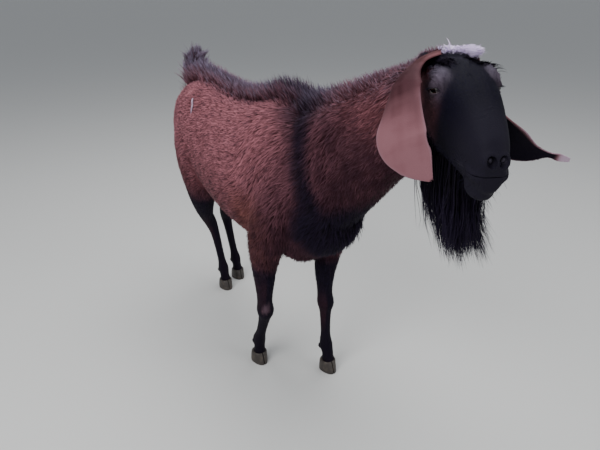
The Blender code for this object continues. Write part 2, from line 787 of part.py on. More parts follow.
def brush_locks(tail, rng):
    """The tail's brush, all round it and upward."""
    tree = skin_tree(tail)
    x, y = TAIL[-3][:2]
    locks = []
    for i, (height, length) in enumerate(BRUSH_RINGS):
        for k in range(BRUSH_SIDES):
            angle = 2 * math.pi * (k + 0.5 * i) / BRUSH_SIDES
            outward = Vector((math.cos(angle), math.sin(angle), 0.0))
            away = Vector((x, y, height)) + outward * 0.2
            root, out, _, _ = tree.ray_cast(away, -outward)
            lie = UP + outward * 0.10
            locks.append(lock(root, outward * 0.5 + UP, lie, outward, (length, BRUSH_WIDTH), rng))
    return locks


def add_locks(obj, locks):
    """Fuse locks to the piece they grow from."""
    combine(obj, locks, "UNION", "MANIFOLD")
    keep_largest(obj)


def hoof_ring(x, y, row):
    """One level ring round a hoof, narrower at the toe."""
    height, ahead, half_length, half_width, taper = row
    ring = []
    for k in range(HOOF_SIDES):
        angle = 2 * math.pi * k / HOOF_SIDES
        along = rounded(math.cos(angle), 2.4)
        across = rounded(math.sin(angle), 2.4) * (1 - taper * along)
        ring.append(Vector((x + ahead + half_length * along, y + half_width * across, height)))
    return ring


def make_hoof(name, place, home):
    """A hoof of two claws, pointed ahead and flat below."""
    x, y = place
    bm = bmesh.new()
    loft(bm, [hoof_ring(x, y, row) for row in HOOF])
    hoof = new_object(name, bm, home)
    front = box(Vector((x + 0.032, y, 0.0)), (0.050, HOOF_CLEFT, 0.2))
    back = box(Vector((x - 0.034, y, 0.0)), (0.040, HOOF_CLEFT, 0.2))
    combine(hoof, [front, back], "DIFFERENCE")
    keep_largest(hoof)
    return hoof


def dress(obj, finish):
    """Give an object a material of one of the finishes."""
    colour, roughness = FINISHES[finish]
    material = bpy.data.materials.new(finish)
    material.use_nodes = True
    shader = material.node_tree.nodes["Principled BSDF"]
    shader.inputs["Base Color"].default_value = (*colour, 1.0)
    shader.inputs["Roughness"].default_value = roughness
    shader.inputs["Metallic"].default_value = 0.0
    obj.data.materials.clear()
    obj.data.materials.append(material)
    obj.data.shade_smooth()
    obj.data.set_sharp_from_angle(angle=math.radians(40))


def set_on_origin(objects, home):
    """Stand the goat with the bottom centre of its box on the origin."""
    points = [obj.matrix_world @ vert.co for obj in objects for vert in obj.data.vertices]
    low = Vector([min(p[axis] for p in points) for axis in range(3)])
    high = Vector([max(p[axis] for p in points) for axis in range(3)])
    stand = bpy.data.objects.new("stand", None)
    home.objects.link(stand)
    stand.location = (-(low.x + high.x) / 2, -(low.y + high.y) / 2, -low.z)
    for obj in objects:
        obj.parent = stand
    print("moved by", tuple(round(value, 5) for value in stand.location))


def build():
    """Model the goat."""
    clear_scene()
    home = collection("nubian_goat")
    guides = collection("guides")
    nodes = make_flesh(home, guides)
    nodes["head"] = make_head(home, guides)
    nodes["right_eye"] = make_eye("right_eye", -1, home)
    nodes["left_eye"] = make_eye("left_eye", 1, home)
    nodes["right_ear"] = make_ear("right_ear", RIGHT_EAR, nodes["head"], home)
    nodes["left_ear"] = make_ear("left_ear", LEFT_EAR, nodes["head"], home)
    nodes["tail"] = make_tail(nodes["torso"], home)
    rng = random.Random(SEED)
    add_locks(nodes["head"], beard_locks(nodes["head"], rng) + poll_locks(nodes["head"], rng))
    add_locks(nodes["neck"], hair_locks(nodes["neck"], NECK_HAIR, rng))
    back = hair_locks(nodes["torso"], BACK_HAIR, rng)
    add_locks(nodes["torso"], back + fringe_locks(nodes["torso"], rng))
    add_locks(nodes["tail"], brush_locks(nodes["tail"], rng))
    for name, place in (("right_fore_hoof", RIGHT_FORE_PLACE), ("left_fore_hoof", LEFT_FORE_PLACE),
                        ("right_hind_hoof", RIGHT_HIND_PLACE), ("left_hind_hoof", LEFT_HIND_PLACE)):
        nodes[name] = make_hoof(name, place, home)
    looks = {"torso": "mahogany coat", "neck": "mahogany coat", "right_ear": "tan ear",
             "left_ear": "tan ear", "right_eye": "eye", "left_eye": "eye"}
    for name, obj in nodes.items():
        dress(obj, "hoof" if name.endswith("hoof") else looks.get(name, "dark coat"))
        print(name, len(obj.data.polygons))
    set_on_origin(list(nodes.values()), home)
    bpy.data.collections.remove(guides)


build()
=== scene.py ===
# %% [markdown]
# # A Nubian goat, standing with its head turned
# The goat is built in three layers, as a taxidermist would think of it: one skin
# over all its flesh, a coat of many small tufts that grow from that skin, and the
# hard or wet things that stay separate, such as eyes and hooves.
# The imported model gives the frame, so nothing has to be fitted afterwards.

# %% Load the frame
import json
import math

import bmesh
import bpy
import numpy as np
from mathutils import Euler, Matrix, Vector
from mathutils.bvhtree import BVHTree
from mathutils.kdtree import KDTree

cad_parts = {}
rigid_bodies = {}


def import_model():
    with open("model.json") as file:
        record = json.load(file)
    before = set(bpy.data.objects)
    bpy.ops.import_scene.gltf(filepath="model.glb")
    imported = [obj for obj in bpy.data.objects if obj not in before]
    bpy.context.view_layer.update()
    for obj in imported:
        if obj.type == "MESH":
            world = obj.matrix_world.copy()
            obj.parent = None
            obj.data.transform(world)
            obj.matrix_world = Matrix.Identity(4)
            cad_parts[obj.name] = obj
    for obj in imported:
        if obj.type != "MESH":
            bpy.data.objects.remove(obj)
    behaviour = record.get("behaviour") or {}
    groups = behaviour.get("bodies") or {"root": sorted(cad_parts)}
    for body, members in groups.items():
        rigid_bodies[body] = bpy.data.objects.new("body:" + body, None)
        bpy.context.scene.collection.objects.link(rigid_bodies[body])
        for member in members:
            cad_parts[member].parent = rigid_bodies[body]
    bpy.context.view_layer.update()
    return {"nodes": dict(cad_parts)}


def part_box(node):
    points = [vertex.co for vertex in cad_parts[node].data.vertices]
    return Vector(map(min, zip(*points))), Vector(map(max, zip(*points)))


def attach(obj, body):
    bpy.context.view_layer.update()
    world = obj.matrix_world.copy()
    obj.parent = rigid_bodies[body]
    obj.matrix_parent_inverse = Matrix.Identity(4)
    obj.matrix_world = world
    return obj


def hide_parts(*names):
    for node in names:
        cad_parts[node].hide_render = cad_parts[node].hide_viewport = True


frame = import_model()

print("nodes in the frame:", sorted(frame["nodes"]))

# %% [markdown]
# ## Where the goat stands
# The sizes below are in the goat's own frame: +X ahead, +Y to its left, +Z up.
# A hoof's box says how far that frame was moved when the part was packed.

# %% Find the shift from one hoof
RIGHT_FORE_PLACE = (0.090, -0.090)
LEFT_FORE_PLACE = (0.245, 0.080)
RIGHT_HIND_PLACE = (-0.410, 0.010)
LEFT_HIND_PLACE = (-0.465, 0.090)
HOOF_BACK = 0.025
low, high = [Vector(corner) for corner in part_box("right_fore_hoof")]
SHIFT = Vector((low.x + HOOF_BACK - RIGHT_FORE_PLACE[0], (low.y + high.y) / 2 - RIGHT_FORE_PLACE[1], 0.0))
print("shift:", tuple(round(value, 5) for value in SHIFT))

# %% [markdown]
# ## Stations of the flesh
# A limb is described by rings across a path, and a smooth curve runs through its
# rows. A row gives a ring's middle, half depth and half width. The trunk's rows
# give x, y, top, bottom, half width and how much narrower the top is.

# %% Trunk, neck and tail
TRUNK = (
    (-0.512, -0.034, 0.770, 0.690, 0.030, 0.00),
    (-0.490, -0.033, 0.820, 0.625, 0.075, 0.00),
    (-0.450, -0.031, 0.850, 0.568, 0.108, 0.00),
    (-0.380, -0.026, 0.864, 0.522, 0.130, 0.00),
    (-0.300, -0.021, 0.866, 0.492, 0.140, 0.00),
    (-0.200, -0.016, 0.856, 0.472, 0.146, 0.05),
    (-0.100, -0.013, 0.848, 0.460, 0.155, 0.10),
    (0.000, -0.012, 0.850, 0.452, 0.162, 0.12),
    (0.100, -0.012, 0.866, 0.446, 0.158, 0.10),
    (0.180, -0.012, 0.884, 0.438, 0.142, 0.00),
    (0.260, -0.010, 0.876, 0.432, 0.125, -0.05),
    (0.330, -0.008, 0.840, 0.455, 0.112, -0.05),
    (0.390, -0.006, 0.775, 0.495, 0.092, 0.00),
    (0.440, -0.004, 0.700, 0.560, 0.055, 0.00),
)
NECK = (
    (0.220, -0.008, 0.690, 0.170, 0.100),
    (0.330, -0.006, 0.722, 0.165, 0.100),
    (0.430, 0.002, 0.785, 0.140, 0.086),
    (0.520, 0.010, 0.852, 0.118, 0.074),
    (0.605, 0.022, 0.908, 0.102, 0.066),
    (0.670, 0.030, 0.955, 0.086, 0.057),
    (0.710, 0.033, 0.985, 0.060, 0.045),
)
TAIL = (
    (-0.425, -0.030, 0.800, 0.028, 0.032),
    (-0.465, -0.032, 0.835, 0.028, 0.036),
    (-0.480, -0.034, 0.865, 0.023, 0.030),
    (-0.480, -0.034, 0.890, 0.016, 0.020),
    (-0.476, -0.034, 0.906, 0.006, 0.008),
)
print("rings of trunk, neck and tail:", len(TRUNK), len(NECK), len(TAIL))

# %% Legs, from shoulder or hip to hoof
RIGHT_FORE = (
    (0.160, -0.068, 0.800, 0.050, 0.030),
    (0.220, -0.092, 0.700, 0.075, 0.045),
    (0.245, -0.104, 0.610, 0.085, 0.052),
    (0.218, -0.118, 0.510, 0.072, 0.046),
    (0.206, -0.121, 0.430, 0.048, 0.036),
    (0.202, -0.120, 0.360, 0.034, 0.028),
    (0.199, -0.119, 0.300, 0.026, 0.023),
    (0.197, -0.117, 0.262, 0.0280, 0.0265),
    (0.180, -0.112, 0.225, 0.0200, 0.0190),
    (0.132, -0.101, 0.142, 0.0172, 0.0162),
    (0.104, -0.095, 0.095, 0.0228, 0.0212),
    (0.098, -0.092, 0.062, 0.0190, 0.0188),
    (0.092, -0.090, 0.030, 0.0222, 0.0217),
)
LEFT_FORE = (
    (0.160, 0.048, 0.800, 0.050, 0.030),
    (0.225, 0.068, 0.700, 0.075, 0.045),
    (0.255, 0.076, 0.610, 0.085, 0.052),
    (0.238, 0.080, 0.510, 0.070, 0.044),
    (0.241, 0.071, 0.430, 0.046, 0.035),
    (0.243, 0.063, 0.360, 0.033, 0.028),
    (0.246, 0.062, 0.300, 0.0255, 0.023),
    (0.250, 0.063, 0.262, 0.0280, 0.0265),
    (0.246, 0.066, 0.225, 0.0200, 0.0190),
    (0.240, 0.072, 0.142, 0.0172, 0.0162),
    (0.237, 0.077, 0.095, 0.0228, 0.0212),
    (0.245, 0.079, 0.062, 0.0190, 0.0188),
    (0.246, 0.080, 0.030, 0.0222, 0.0217),
)
RIGHT_HIND = (
    (-0.330, -0.096, 0.760, 0.105, 0.050),
    (-0.330, -0.112, 0.640, 0.120, 0.055),
    (-0.300, -0.112, 0.520, 0.088, 0.050),
    (-0.332, -0.094, 0.430, 0.058, 0.038),
    (-0.375, -0.068, 0.360, 0.038, 0.027),
    (-0.402, -0.040, 0.305, 0.031, 0.0235),
    (-0.402, -0.024, 0.250, 0.0195, 0.0180),
    (-0.402, -0.006, 0.142, 0.0172, 0.0158),
    (-0.406, 0.002, 0.095, 0.0232, 0.0212),
    (-0.409, 0.007, 0.062, 0.0192, 0.0188),
    (-0.410, 0.010, 0.030, 0.0222, 0.0217),
)
LEFT_HIND = (
    (-0.335, 0.044, 0.760, 0.105, 0.050),
    (-0.340, 0.054, 0.640, 0.120, 0.055),
    (-0.318, 0.052, 0.520, 0.088, 0.050),
    (-0.360, 0.040, 0.430, 0.058, 0.038),
    (-0.408, 0.034, 0.360, 0.038, 0.027),
    (-0.447, 0.044, 0.305, 0.031, 0.0235),
    (-0.451, 0.052, 0.250, 0.0195, 0.0180),
    (-0.456, 0.071, 0.142, 0.0172, 0.0158),
    (-0.460, 0.080, 0.095, 0.0232, 0.0212),
    (-0.464, 0.086, 0.062, 0.0192, 0.0188),
    (-0.465, 0.090, 0.030, 0.0222, 0.0217),
)
LEGS = {"right_fore": RIGHT_FORE, "left_fore": LEFT_FORE, "right_hind": RIGHT_HIND, "left_hind": LEFT_HIND}
print("rings of the legs:", {name: len(rows) for name, rows in LEGS.items()})

# %% Head, in its own frame: x, top, bottom, half width
HEAD_JOINT = Vector((0.683, 0.033, 1.004))
HEAD_YAW, HEAD_PITCH, HEAD_ROLL = math.radians(-25.0), math.radians(20.7), math.radians(1.0)
HEAD_TURN = (Euler((0, 0, HEAD_YAW)).to_matrix() @ Euler((0, HEAD_PITCH, 0)).to_matrix()
             @ Euler((HEAD_ROLL, 0, 0)).to_matrix())
HEAD = Matrix.Translation(HEAD_JOINT) @ HEAD_TURN.to_4x4()
SKULL = (
    (-0.050, 0.022, -0.050, 0.040),
    (-0.020, 0.040, -0.062, 0.050),
    (0.010, 0.051, -0.074, 0.054),
    (0.040, 0.062, -0.085, 0.056),
    (0.070, 0.072, -0.090, 0.056),
    (0.100, 0.079, -0.088, 0.055),
    (0.130, 0.081, -0.082, 0.055),
    (0.160, 0.079, -0.075, 0.052),
    (0.190, 0.074, -0.069, 0.046),
    (0.220, 0.067, -0.065, 0.040),
    (0.245, 0.058, -0.063, 0.035),
    (0.268, 0.047, -0.060, 0.030),
    (0.286, 0.036, -0.050, 0.025),
    (0.298, 0.022, -0.034, 0.018),
)
EYE = Vector((0.112, 0.0465, 0.042))
EYE_RADIUS = 0.0158
EYE_FACING = Vector((0.50, 0.85, 0.12))
LID_TILT = math.radians(-28)
LID_LENGTH, LID_HEIGHT = 0.0140, 0.0049
MOUTH_LINE = ((0.212, -0.031), (0.246, -0.017), (0.283, -0.008), (0.300, -0.003), (0.320, 0.000))
MOUTH_CORNER = (0.222, 0.034, -0.026)
NOSE_MIDDLE = 0.0020
NOSTRIL = (0.292, 0.0097, 0.022)
print("the head points", round(math.degrees(HEAD_YAW)), "degrees to the side and",
      round(math.degrees(HEAD_PITCH)), "down")

# %% Ears: x, y, z, half width along the skin, curl, bearing of the outer side
EARS = {
    "right": (
        (0.690, 0.000, 1.045, 0.030, 290, 215),
        (0.710, -0.069, 1.035, 0.030, 230, 240),
        (0.730, -0.124, 1.007, 0.054, 125, 268),
        (0.759, -0.139, 0.965, 0.050, 55, 286),
        (0.781, -0.146, 0.922, 0.054, 32, 294),
        (0.809, -0.131, 0.890, 0.034, 26, 298),
        (0.833, -0.117, 0.867, 0.004, 24, 300),
    ),
    "left": (
        (0.708, 0.054, 1.030, 0.040, 290, 120),
        (0.724, 0.088, 0.990, 0.042, 230, 108),
        (0.742, 0.112, 0.935, 0.047, 150, 104),
        (0.769, 0.137, 0.891, 0.048, 85, 104),
        (0.797, 0.168, 0.865, 0.025, 45, 112),
        (0.822, 0.195, 0.860, 0.006, 20, 118),
        (0.837, 0.213, 0.855, 0.0075, 20, 120),
        (0.850, 0.228, 0.851, 0.004, 20, 120),
    ),
}
print("stations of the ears:", {side: len(rows) for side, rows in EARS.items()})

# %% [markdown]
# ## Shapes from rings
# A limb could be sculpted or pulled from a cube, but rings keep its real sizes.
# Each ring starts as a circle, is set on the path, and bridges to the next one.

# %% Helpers: a smooth curve, a ring and a tube
def smooth_rows(rows, steps):
    """Rows read along one smooth curve through the given rows."""
    padded = [rows[0]] + list(rows) + [rows[-1]]
    read = []
    for a, b, c, d in zip(padded, padded[1:], padded[2:], padded[3:]):
        for step in range(steps):
            t = step / steps
            read.append(tuple(
                q + 0.5 * t * (r - p + t * (2 * p - 5 * q + 4 * r - s + t * (3 * (q - r) + s - p)))
                for p, q, r, s in zip(a, b, c, d)))
    read.append(tuple(rows[-1]))
    return read


def rounded(value, power):
    """A coordinate of a superellipse."""
    return math.copysign(abs(value) ** (2.0 / power), value)


def ring(bm, sides, place):
    """A circle whose points are set by a function of their cosine and sine; returns its edges."""
    made = bmesh.ops.create_circle(bm, segments=sides, radius=1.0)["verts"]
    for vert in made:
        vert.co = place(vert.co.x, vert.co.y)
    return list({edge for vert in made for edge in vert.link_edges})


def bridged(bm, rings):
    """Bridge rings in a row and close both ends."""
    for one, two in zip(rings, rings[1:]):
        bmesh.ops.bridge_loops(bm, edges=one + two)
    bmesh.ops.holes_fill(bm, edges=[edge for edge in bm.edges if edge.is_boundary])
    bmesh.ops.recalc_face_normals(bm, faces=bm.faces)
    return bm


def tube(rows, steps=4, sides=24, power=2.2):
    """A limb or trunk along +X or +Z."""
    rows = smooth_rows([tuple(row) + (0.0,) * (6 - len(row)) for row in rows], steps)
    centres = [Vector(row[:3]) for row in rows]
    bm = bmesh.new()
    rings = []
    for i, row in enumerate(rows):
        ahead = (centres[min(i + 1, len(rows) - 1)] - centres[max(i - 1, 0)]).normalized()
        side = (Vector((0, 1, 0)) - ahead * ahead.y).normalized()
        top = ahead.cross(side)

        def place(c, s, middle=centres[i], row=row, side=side, top=top):
            across, along = rounded(c, power), rounded(s, power)
            return middle + side * row[4] * across * (1 - row[5] * along) + top * row[3] * along
        rings.append(ring(bm, sides, place))
    return bridged(bm, rings)


def ball(centre, radii, turn=Matrix(), segments=24):
    """An ellipsoid."""
    bm = bmesh.new()
    place = Matrix.Translation(centre) @ turn.to_4x4() @ Matrix.Diagonal((*radii, 1.0))
    bmesh.ops.create_uvsphere(bm, u_segments=segments, v_segments=segments * 2 // 3, radius=1.0, matrix=place)
    return bm


def smooth(bm, verts, times):
    """Smooth some points of a mesh."""
    for _ in range(times):
        bmesh.ops.smooth_vert(bm, verts=verts, factor=0.5, use_axis_x=True, use_axis_y=True, use_axis_z=True)


# %% Helpers: objects, modifiers and Booleans
def new_object(name, bm):
    """An object that holds a mesh."""
    mesh = bpy.data.meshes.new(name)
    bm.to_mesh(mesh)
    bm.free()
    obj = bpy.data.objects.new(name, mesh)
    bpy.context.scene.collection.objects.link(obj)
    return obj


def bake(obj):
    """Make what the modifiers show the object's own mesh."""
    bpy.context.view_layer.update()
    graph = bpy.context.evaluated_depsgraph_get()
    mesh = bpy.data.meshes.new_from_object(obj.evaluated_get(graph))
    old = obj.data
    obj.modifiers.clear()
    obj.data = mesh
    bpy.data.meshes.remove(old)


def joined(masses):
    """One mesh of many shapes."""
    whole = bmesh.new()
    for mass in masses:
        mesh = bpy.data.meshes.new("mass")
        mass.to_mesh(mesh)
        mass.free()
        whole.from_mesh(mesh)
        bpy.data.meshes.remove(mesh)
    return whole


def combine(obj, masses, operation):
    """Join shapes to an object, or cut them from it, in one Boolean."""
    operands = bpy.data.collections.new("operands")
    bpy.context.scene.collection.children.link(operands)
    for mass in masses:
        operand = new_object("operand", mass)
        bpy.context.scene.collection.objects.unlink(operand)
        operands.objects.link(operand)
    boolean = obj.modifiers.new("combine", "BOOLEAN")
    boolean.operation = operation
    boolean.operand_type = "COLLECTION"
    boolean.collection = operands
    boolean.solver = "MANIFOLD"
    bake(obj)
    obj.data.materials.clear()
    for operand in list(operands.objects):
        bpy.data.objects.remove(operand, do_unlink=True)
    bpy.data.collections.remove(operands)


def arrays(obj):
    """An object's points, triangles and point normals as arrays, in the goat's frame."""
    mesh = obj.data
    mesh.calc_loop_triangles()
    points = np.empty(len(mesh.vertices) * 3)
    mesh.vertices.foreach_get("co", points)
    normals = np.empty(len(mesh.vertices) * 3)
    mesh.vertices.foreach_get("normal", normals)
    triangles = np.empty(len(mesh.loop_triangles) * 3, dtype=np.int32)
    mesh.loop_triangles.foreach_get("vertices", triangles)
    return points.reshape(-1, 3), triangles.reshape(-1, 3), normals.reshape(-1, 3)


# %% [markdown]
# ## Fields over the body
# Hair length, lie and colour change smoothly over an animal, so each is a
# function of place. Skin and coat read the same functions, and so they agree.

# %% Helpers: soft steps, blends and tables
def ramp(value, start, end):
    """0 before start, 1 after end, and smooth between."""
    t = np.clip((value - start) / (end - start), 0.0, 1.0)
    return t * t * (3 - 2 * t)


def hump(value, middle, half):
    """1 in the middle, falling softly past the half width."""
    return np.exp(-((value - middle) / half) ** 4)


def blend(one, two, share):
    """The first value where the share is 0, the second where it is 1."""
    return one * (1 - share) + two * share


def column(rows, value, number=1):
    """A column of a table, read at values of its first column."""
    columns = list(zip(*rows))
    return np.interp(value, columns[0], columns[number])


# %% Helpers: places on the head
def in_head(points):
    """Points in the head's own frame."""
    inverse = np.array(HEAD.inverted())
    return points @ inverse[:3, :3].T + inverse[:3, 3]


def unit(vectors):
    """Vectors of length one."""
    return vectors / np.maximum(np.linalg.norm(vectors, axis=-1, keepdims=True), 1e-9)


def distance(own, place, middle=0.0, stretch=(1.0, 1.0, 1.0)):
    """How far points of the head are from a place that lies on both sides of its middle."""
    folded = np.stack([own[:, 0], np.abs(own[:, 1] - middle), own[:, 2]], axis=1)
    return np.linalg.norm((folded - np.array(place)) * stretch, axis=1)


JOINT_X, JOINT_Z = 0.941, 0.339


def past_joint(own):
    """How far points of the head lie ahead of the slanted plane where the neck ends."""
    return own[:, 0] * JOINT_X + own[:, 2] * JOINT_Z


# %% Shares of head, legs, tail and ridge
RIDGE_MIDDLE = ((-0.5, -0.033), (-0.3, -0.021), (0.0, -0.012), (0.3, -0.008), (0.5, 0.008), (0.7, 0.032))
RIDGE_TOP = ((-0.50, 0.80), (-0.40, 0.855), (-0.2, 0.845), (0.1, 0.855), (0.2, 0.872), (0.3, 0.875),
             (0.4, 0.90), (0.5, 0.945), (0.6, 0.99), (0.7, 1.03))
RIDGE_WIDTH = 0.040


def head_share(points):
    """1 on the head and 0 behind its joint."""
    return ramp(past_joint(in_head(points)), -0.035, 0.015)


def leg_share(points):
    """1 on the lower legs and 0 on the trunk."""
    edge = np.where(points[:, 0] > -0.1, 0.450, 0.500)
    return ramp(edge - points[:, 2], -0.05, 0.05)


def tail_share(points):
    """1 on the tail."""
    return ramp(-points[:, 0], 0.425, 0.460) * ramp(points[:, 2], 0.825, 0.860)


def ridge_share(points):
    """1 along the middle of neck, back and rump."""
    middle, top = column(RIDGE_MIDDLE, points[:, 0]), column(RIDGE_TOP, points[:, 0])
    return np.exp(-((points[:, 1] - middle) / RIDGE_WIDTH) ** 2) * ramp(points[:, 2], top - 0.05, top - 0.015)


# %% [markdown]
# ## Markings
# The coat is mahogany. The face, beard, legs and breast are black, and a black
# band runs from the withers down the shoulder. The raised hair is dark with grey
# ends, and a white tuft sits between the ears.

# %% Uneven patches, the knee's callus and the streak
KNEE = np.array((0.222, -0.128, 0.280))
STREAK = (np.array((-0.262, -0.128, 0.815)), np.array((-0.241, -0.140, 0.781)))


def mottle(points):
    """Soft uneven patches, between -1 and 1."""
    x, y, z = points[:, 0], points[:, 1], points[:, 2]
    broad = np.sin(61 * x + 17 * z) * np.sin(53 * z - 29 * y + 2)
    fine = np.sin(137 * x - 91 * z + 40 * y) * np.sin(119 * z + 83 * y)
    return (broad + fine) / 2


def from_knee(points):
    """How far points are from the middle of the knee's uneven callus."""
    return np.linalg.norm((points - KNEE) / (1.0, 1.0, 1.3), axis=1) * (1 + 0.45 * mottle(points * 3.1))


def callus(points):
    """1 on the callus in front of the knee."""
    return np.exp(-(from_knee(points) / 0.0115) ** 3)


def from_streak(points):
    """How far points are from the streak on the hip."""
    way = STREAK[1] - STREAK[0]
    along = np.clip(((points - STREAK[0]) @ way) / np.sum(way ** 2), 0, 1)
    return np.linalg.norm(points - (STREAK[0] + along[:, None] * way), axis=1)


# %% Black of the face
def round_eye(own):
    """1 on the ring of skin round each eye."""
    return np.exp(-((distance(own, EYE) - 0.022) / 0.010) ** 2)


def black_face(points):
    """How black the head is: browner on cheek and temple and round the eye."""
    own = in_head(points)
    out = np.abs(own[:, 1])
    cheek = hump(own[:, 0], 0.112, 0.038) * hump(own[:, 2], -0.004, 0.044) * ramp(out, 0.034, 0.048)
    temple = hump(own[:, 0], 0.052, 0.036) * ramp(out, 0.045, 0.054) * hump(own[:, 2], 0.025, 0.050)
    brown = np.max([0.50 * cheek, 0.14 * round_eye(own), 0.80 * temple], axis=0)
    below_ear = 0.6 * np.clip(-0.02 - own[:, 2], 0, 0.1)
    crown = ramp(past_joint(own) - below_ear, -0.010, 0.030)
    return head_share(points) * np.maximum(crown, ramp(-own[:, 2], 0.0, 0.03)) * (1 - brown)


# %% Black of the legs: height and strength of each brown patch
BROWN_PATCHES = {"right_fore": (0.345, 0.13), "left_fore": (0.235, 0.20), "right_hind": (0.300, 0.12)}


def black_legs(points):
    """How black the legs are: browner on their right sides and on the callus."""
    x, y, z = points[:, 0], points[:, 1], points[:, 2]
    brown = np.zeros_like(x)
    for name, (height, strength) in BROWN_PATCHES.items():
        line = [(row[2], row[0], row[1]) for row in reversed(LEGS[name])]
        middle_x, middle_y = column(line, z, 1), column(line, z, 2)
        near = hump(x, middle_x, 0.060) * hump(y, middle_y, 0.045)
        side = ramp(middle_y - y, 0.004, 0.013)
        brown = np.maximum(brown, strength * near * side * hump(z, height, 0.065))
    return leg_share(points) * (0.97 - brown - 0.45 * callus(points))


# %% Black of the trunk: height, x and half width of the shoulder's band
BAND = ((0.56, 0.385, 0.090), (0.60, 0.395, 0.084), (0.66, 0.410, 0.066), (0.70, 0.400, 0.052),
        (0.75, 0.380, 0.046), (0.80, 0.362, 0.052), (0.84, 0.345, 0.076), (0.87, 0.310, 0.105),
        (0.90, 0.270, 0.130))
DARK_BACK = ((-0.45, 0.95), (-0.25, 0.9), (-0.05, 0.88), (0.10, 0.97), (0.34, 0.97), (0.42, 0.45))


def black_trunk(points):
    """How black the trunk is: the band of the shoulder, the breast, the throat and the back."""
    x, z = points[:, 0], points[:, 2]
    own = in_head(points)
    band = np.exp(-np.abs((x - column(BAND, z, 1)) / column(BAND, z, 2)) ** 2.4) * ramp(z, 0.50, 0.58)
    breast_top = 0.61 + 0.35 * np.clip(x - 0.36, 0, 0.2)
    breast = ramp(x, 0.30, 0.40) * ramp(breast_top - z, -0.09, 0.0)
    throat = ramp(-own[:, 2], 0.10, 0.19) * ramp(own[:, 0], -0.30, -0.12) * 0.55
    back = ridge_share(points) * column(DARK_BACK, x)
    return np.max([band * 0.95, breast * 0.95, throat, back], axis=0)


# %% White of the poll, the streak and the paler parts of the face
def white_marks(points):
    """How white the coat is."""
    own = in_head(points)
    head = head_share(points)
    x, y, z = own[:, 0], own[:, 1], own[:, 2]
    poll = head * hump(x, 0.002, 0.020) * hump(y, 0.015, 0.026) * ramp(z, 0.030, 0.045)
    streak = 0.35 * (1 - ramp(from_streak(points), 0.001, 0.006))
    lip = ramp(x, 0.215, 0.235) * hump(z, column(MOUTH_LINE, x), 0.0045)
    corner = 0.020 * (1 - ramp(x, 0.245, 0.270)) * lip * head
    brow = head * hump(x, 0.098, 0.028) * ramp(z, 0.050, 0.066) * ramp(np.abs(y), 0.026, 0.042)
    eye = 0.070 * brow + 0.036 * round_eye(own) * head
    muzzle = 0.010 * head * ramp(x, 0.17, 0.26)
    in_nose = distance(own, (NOSTRIL[0] - 0.006, NOSTRIL[1], NOSTRIL[2] - 0.0015), NOSE_MIDDLE)
    nose_fold = 0.045 * head * (1 - ramp(in_nose, 0.0040, 0.0066))
    marks = [poll, streak, corner, eye, muzzle, nose_fold, 0.05 * callus(points)]
    return np.clip(np.max(marks, axis=0), 0, 1)


# %% All markings of the coat
GREYING = ((-0.45, 0.9), (-0.2, 0.55), (0.0, 0.45), (0.1, 0.20), (0.24, 0.12), (0.34, 0.42), (0.45, 0.40))


def markings(points):
    """How black, white and grey-tipped, how tan and warm the coat is, and how much painted shade darkens it,
    at each point.
    """
    x, z = points[:, 0], points[:, 2]
    black = np.clip(np.max([black_trunk(points), black_face(points), black_legs(points)], axis=0), 0, 1)
    grey = np.clip(ridge_share(points) * column(GREYING, x) + tail_share(points) * 0.9, 0, 1)
    grey = grey * (1 - head_share(points))
    warm = hump(x, 0.20, 0.09) * hump(z, 0.53, 0.10) * ramp(np.abs(points[:, 1]), 0.09, 0.13)
    # The shade channel is painted shade: darker on the belly and under the neck, and towards the neck and
    # shoulder partly painted shade and partly the coat's own darker tone. Its mottle is the coat's own uneven
    # tone.
    under_neck = ramp(column(NECK[1:6], x, 2) - z, 0.0, 0.09) * ramp(x, 0.33, 0.43)
    low, front = ramp(-z, -0.74, -0.52), ramp(x, 0.20, 0.48)
    shade = np.clip(low * 0.80 + front * 0.66 + under_neck * 0.30 + mottle(points) * 0.30 - 0.04, 0, 1)
    tan = np.zeros_like(x)
    return np.stack([black, white_marks(points), grey], axis=1), np.stack([tan, warm, shade], axis=1)


hips = np.array((TRUNK[3][:3], TRUNK[4][:3]))
print("black, white and grey on top of the hips:", markings(hips)[0].round(2).tolist())

# %% [markdown]
# ## Lie, length and depth of the coat
# Hair lies from the nose back over the head, down the neck and legs, and back
# along the trunk. It is shortest on the face and the feet.

# %% Lie of the hair
LIES = {
    "trunk": np.array((-1.0, 0.0, -0.38)), "front": np.array((-0.62, 0.0, -0.95)),
    "haunch": np.array((-0.45, 0.0, -1.0)), "leg": np.array((-0.08, 0.0, -1.0)),
    "head": np.array((-1.0, 0.0, 0.10)), "jaw": np.array((0.3, 0.0, -1.3)),
    "tail": np.array((-0.15, 0.0, 1.0)),
}
FACE_PARTING = np.array((0.0, 0.35, 0.0))


def lie(points):
    """The direction in which hair lies."""
    x, z = points[:, 0], points[:, 2]
    own = in_head(points)
    way = blend(LIES["trunk"], LIES["front"], ramp(x, 0.02, 0.26)[:, None])
    way = blend(way, LIES["haunch"], (ramp(-x, 0.25, 0.42) * ramp(-z, -0.74, -0.55))[:, None])
    swirl = np.sin(21 * x + 13 * z + 1.0) * 0.16 + np.sin(47 * x - 31 * z + 9 * points[:, 1]) * 0.10
    way = way + np.stack([swirl, swirl * 0.5, -swirl], axis=1)
    way = blend(way, LIES["leg"], leg_share(points)[:, None])
    down = ramp(-own[:, 2], -0.02, 0.05)[:, None] * 0.7
    on_face = LIES["head"] + down * LIES["jaw"] + np.sign(own[:, 1])[:, None] * FACE_PARTING
    way = blend(way, on_face @ np.array(HEAD_TURN).T, head_share(points)[:, None])
    return unit(blend(way, LIES["tail"], tail_share(points)[:, None]))


print("the trunk's hair lies along", LIES["trunk"].tolist())

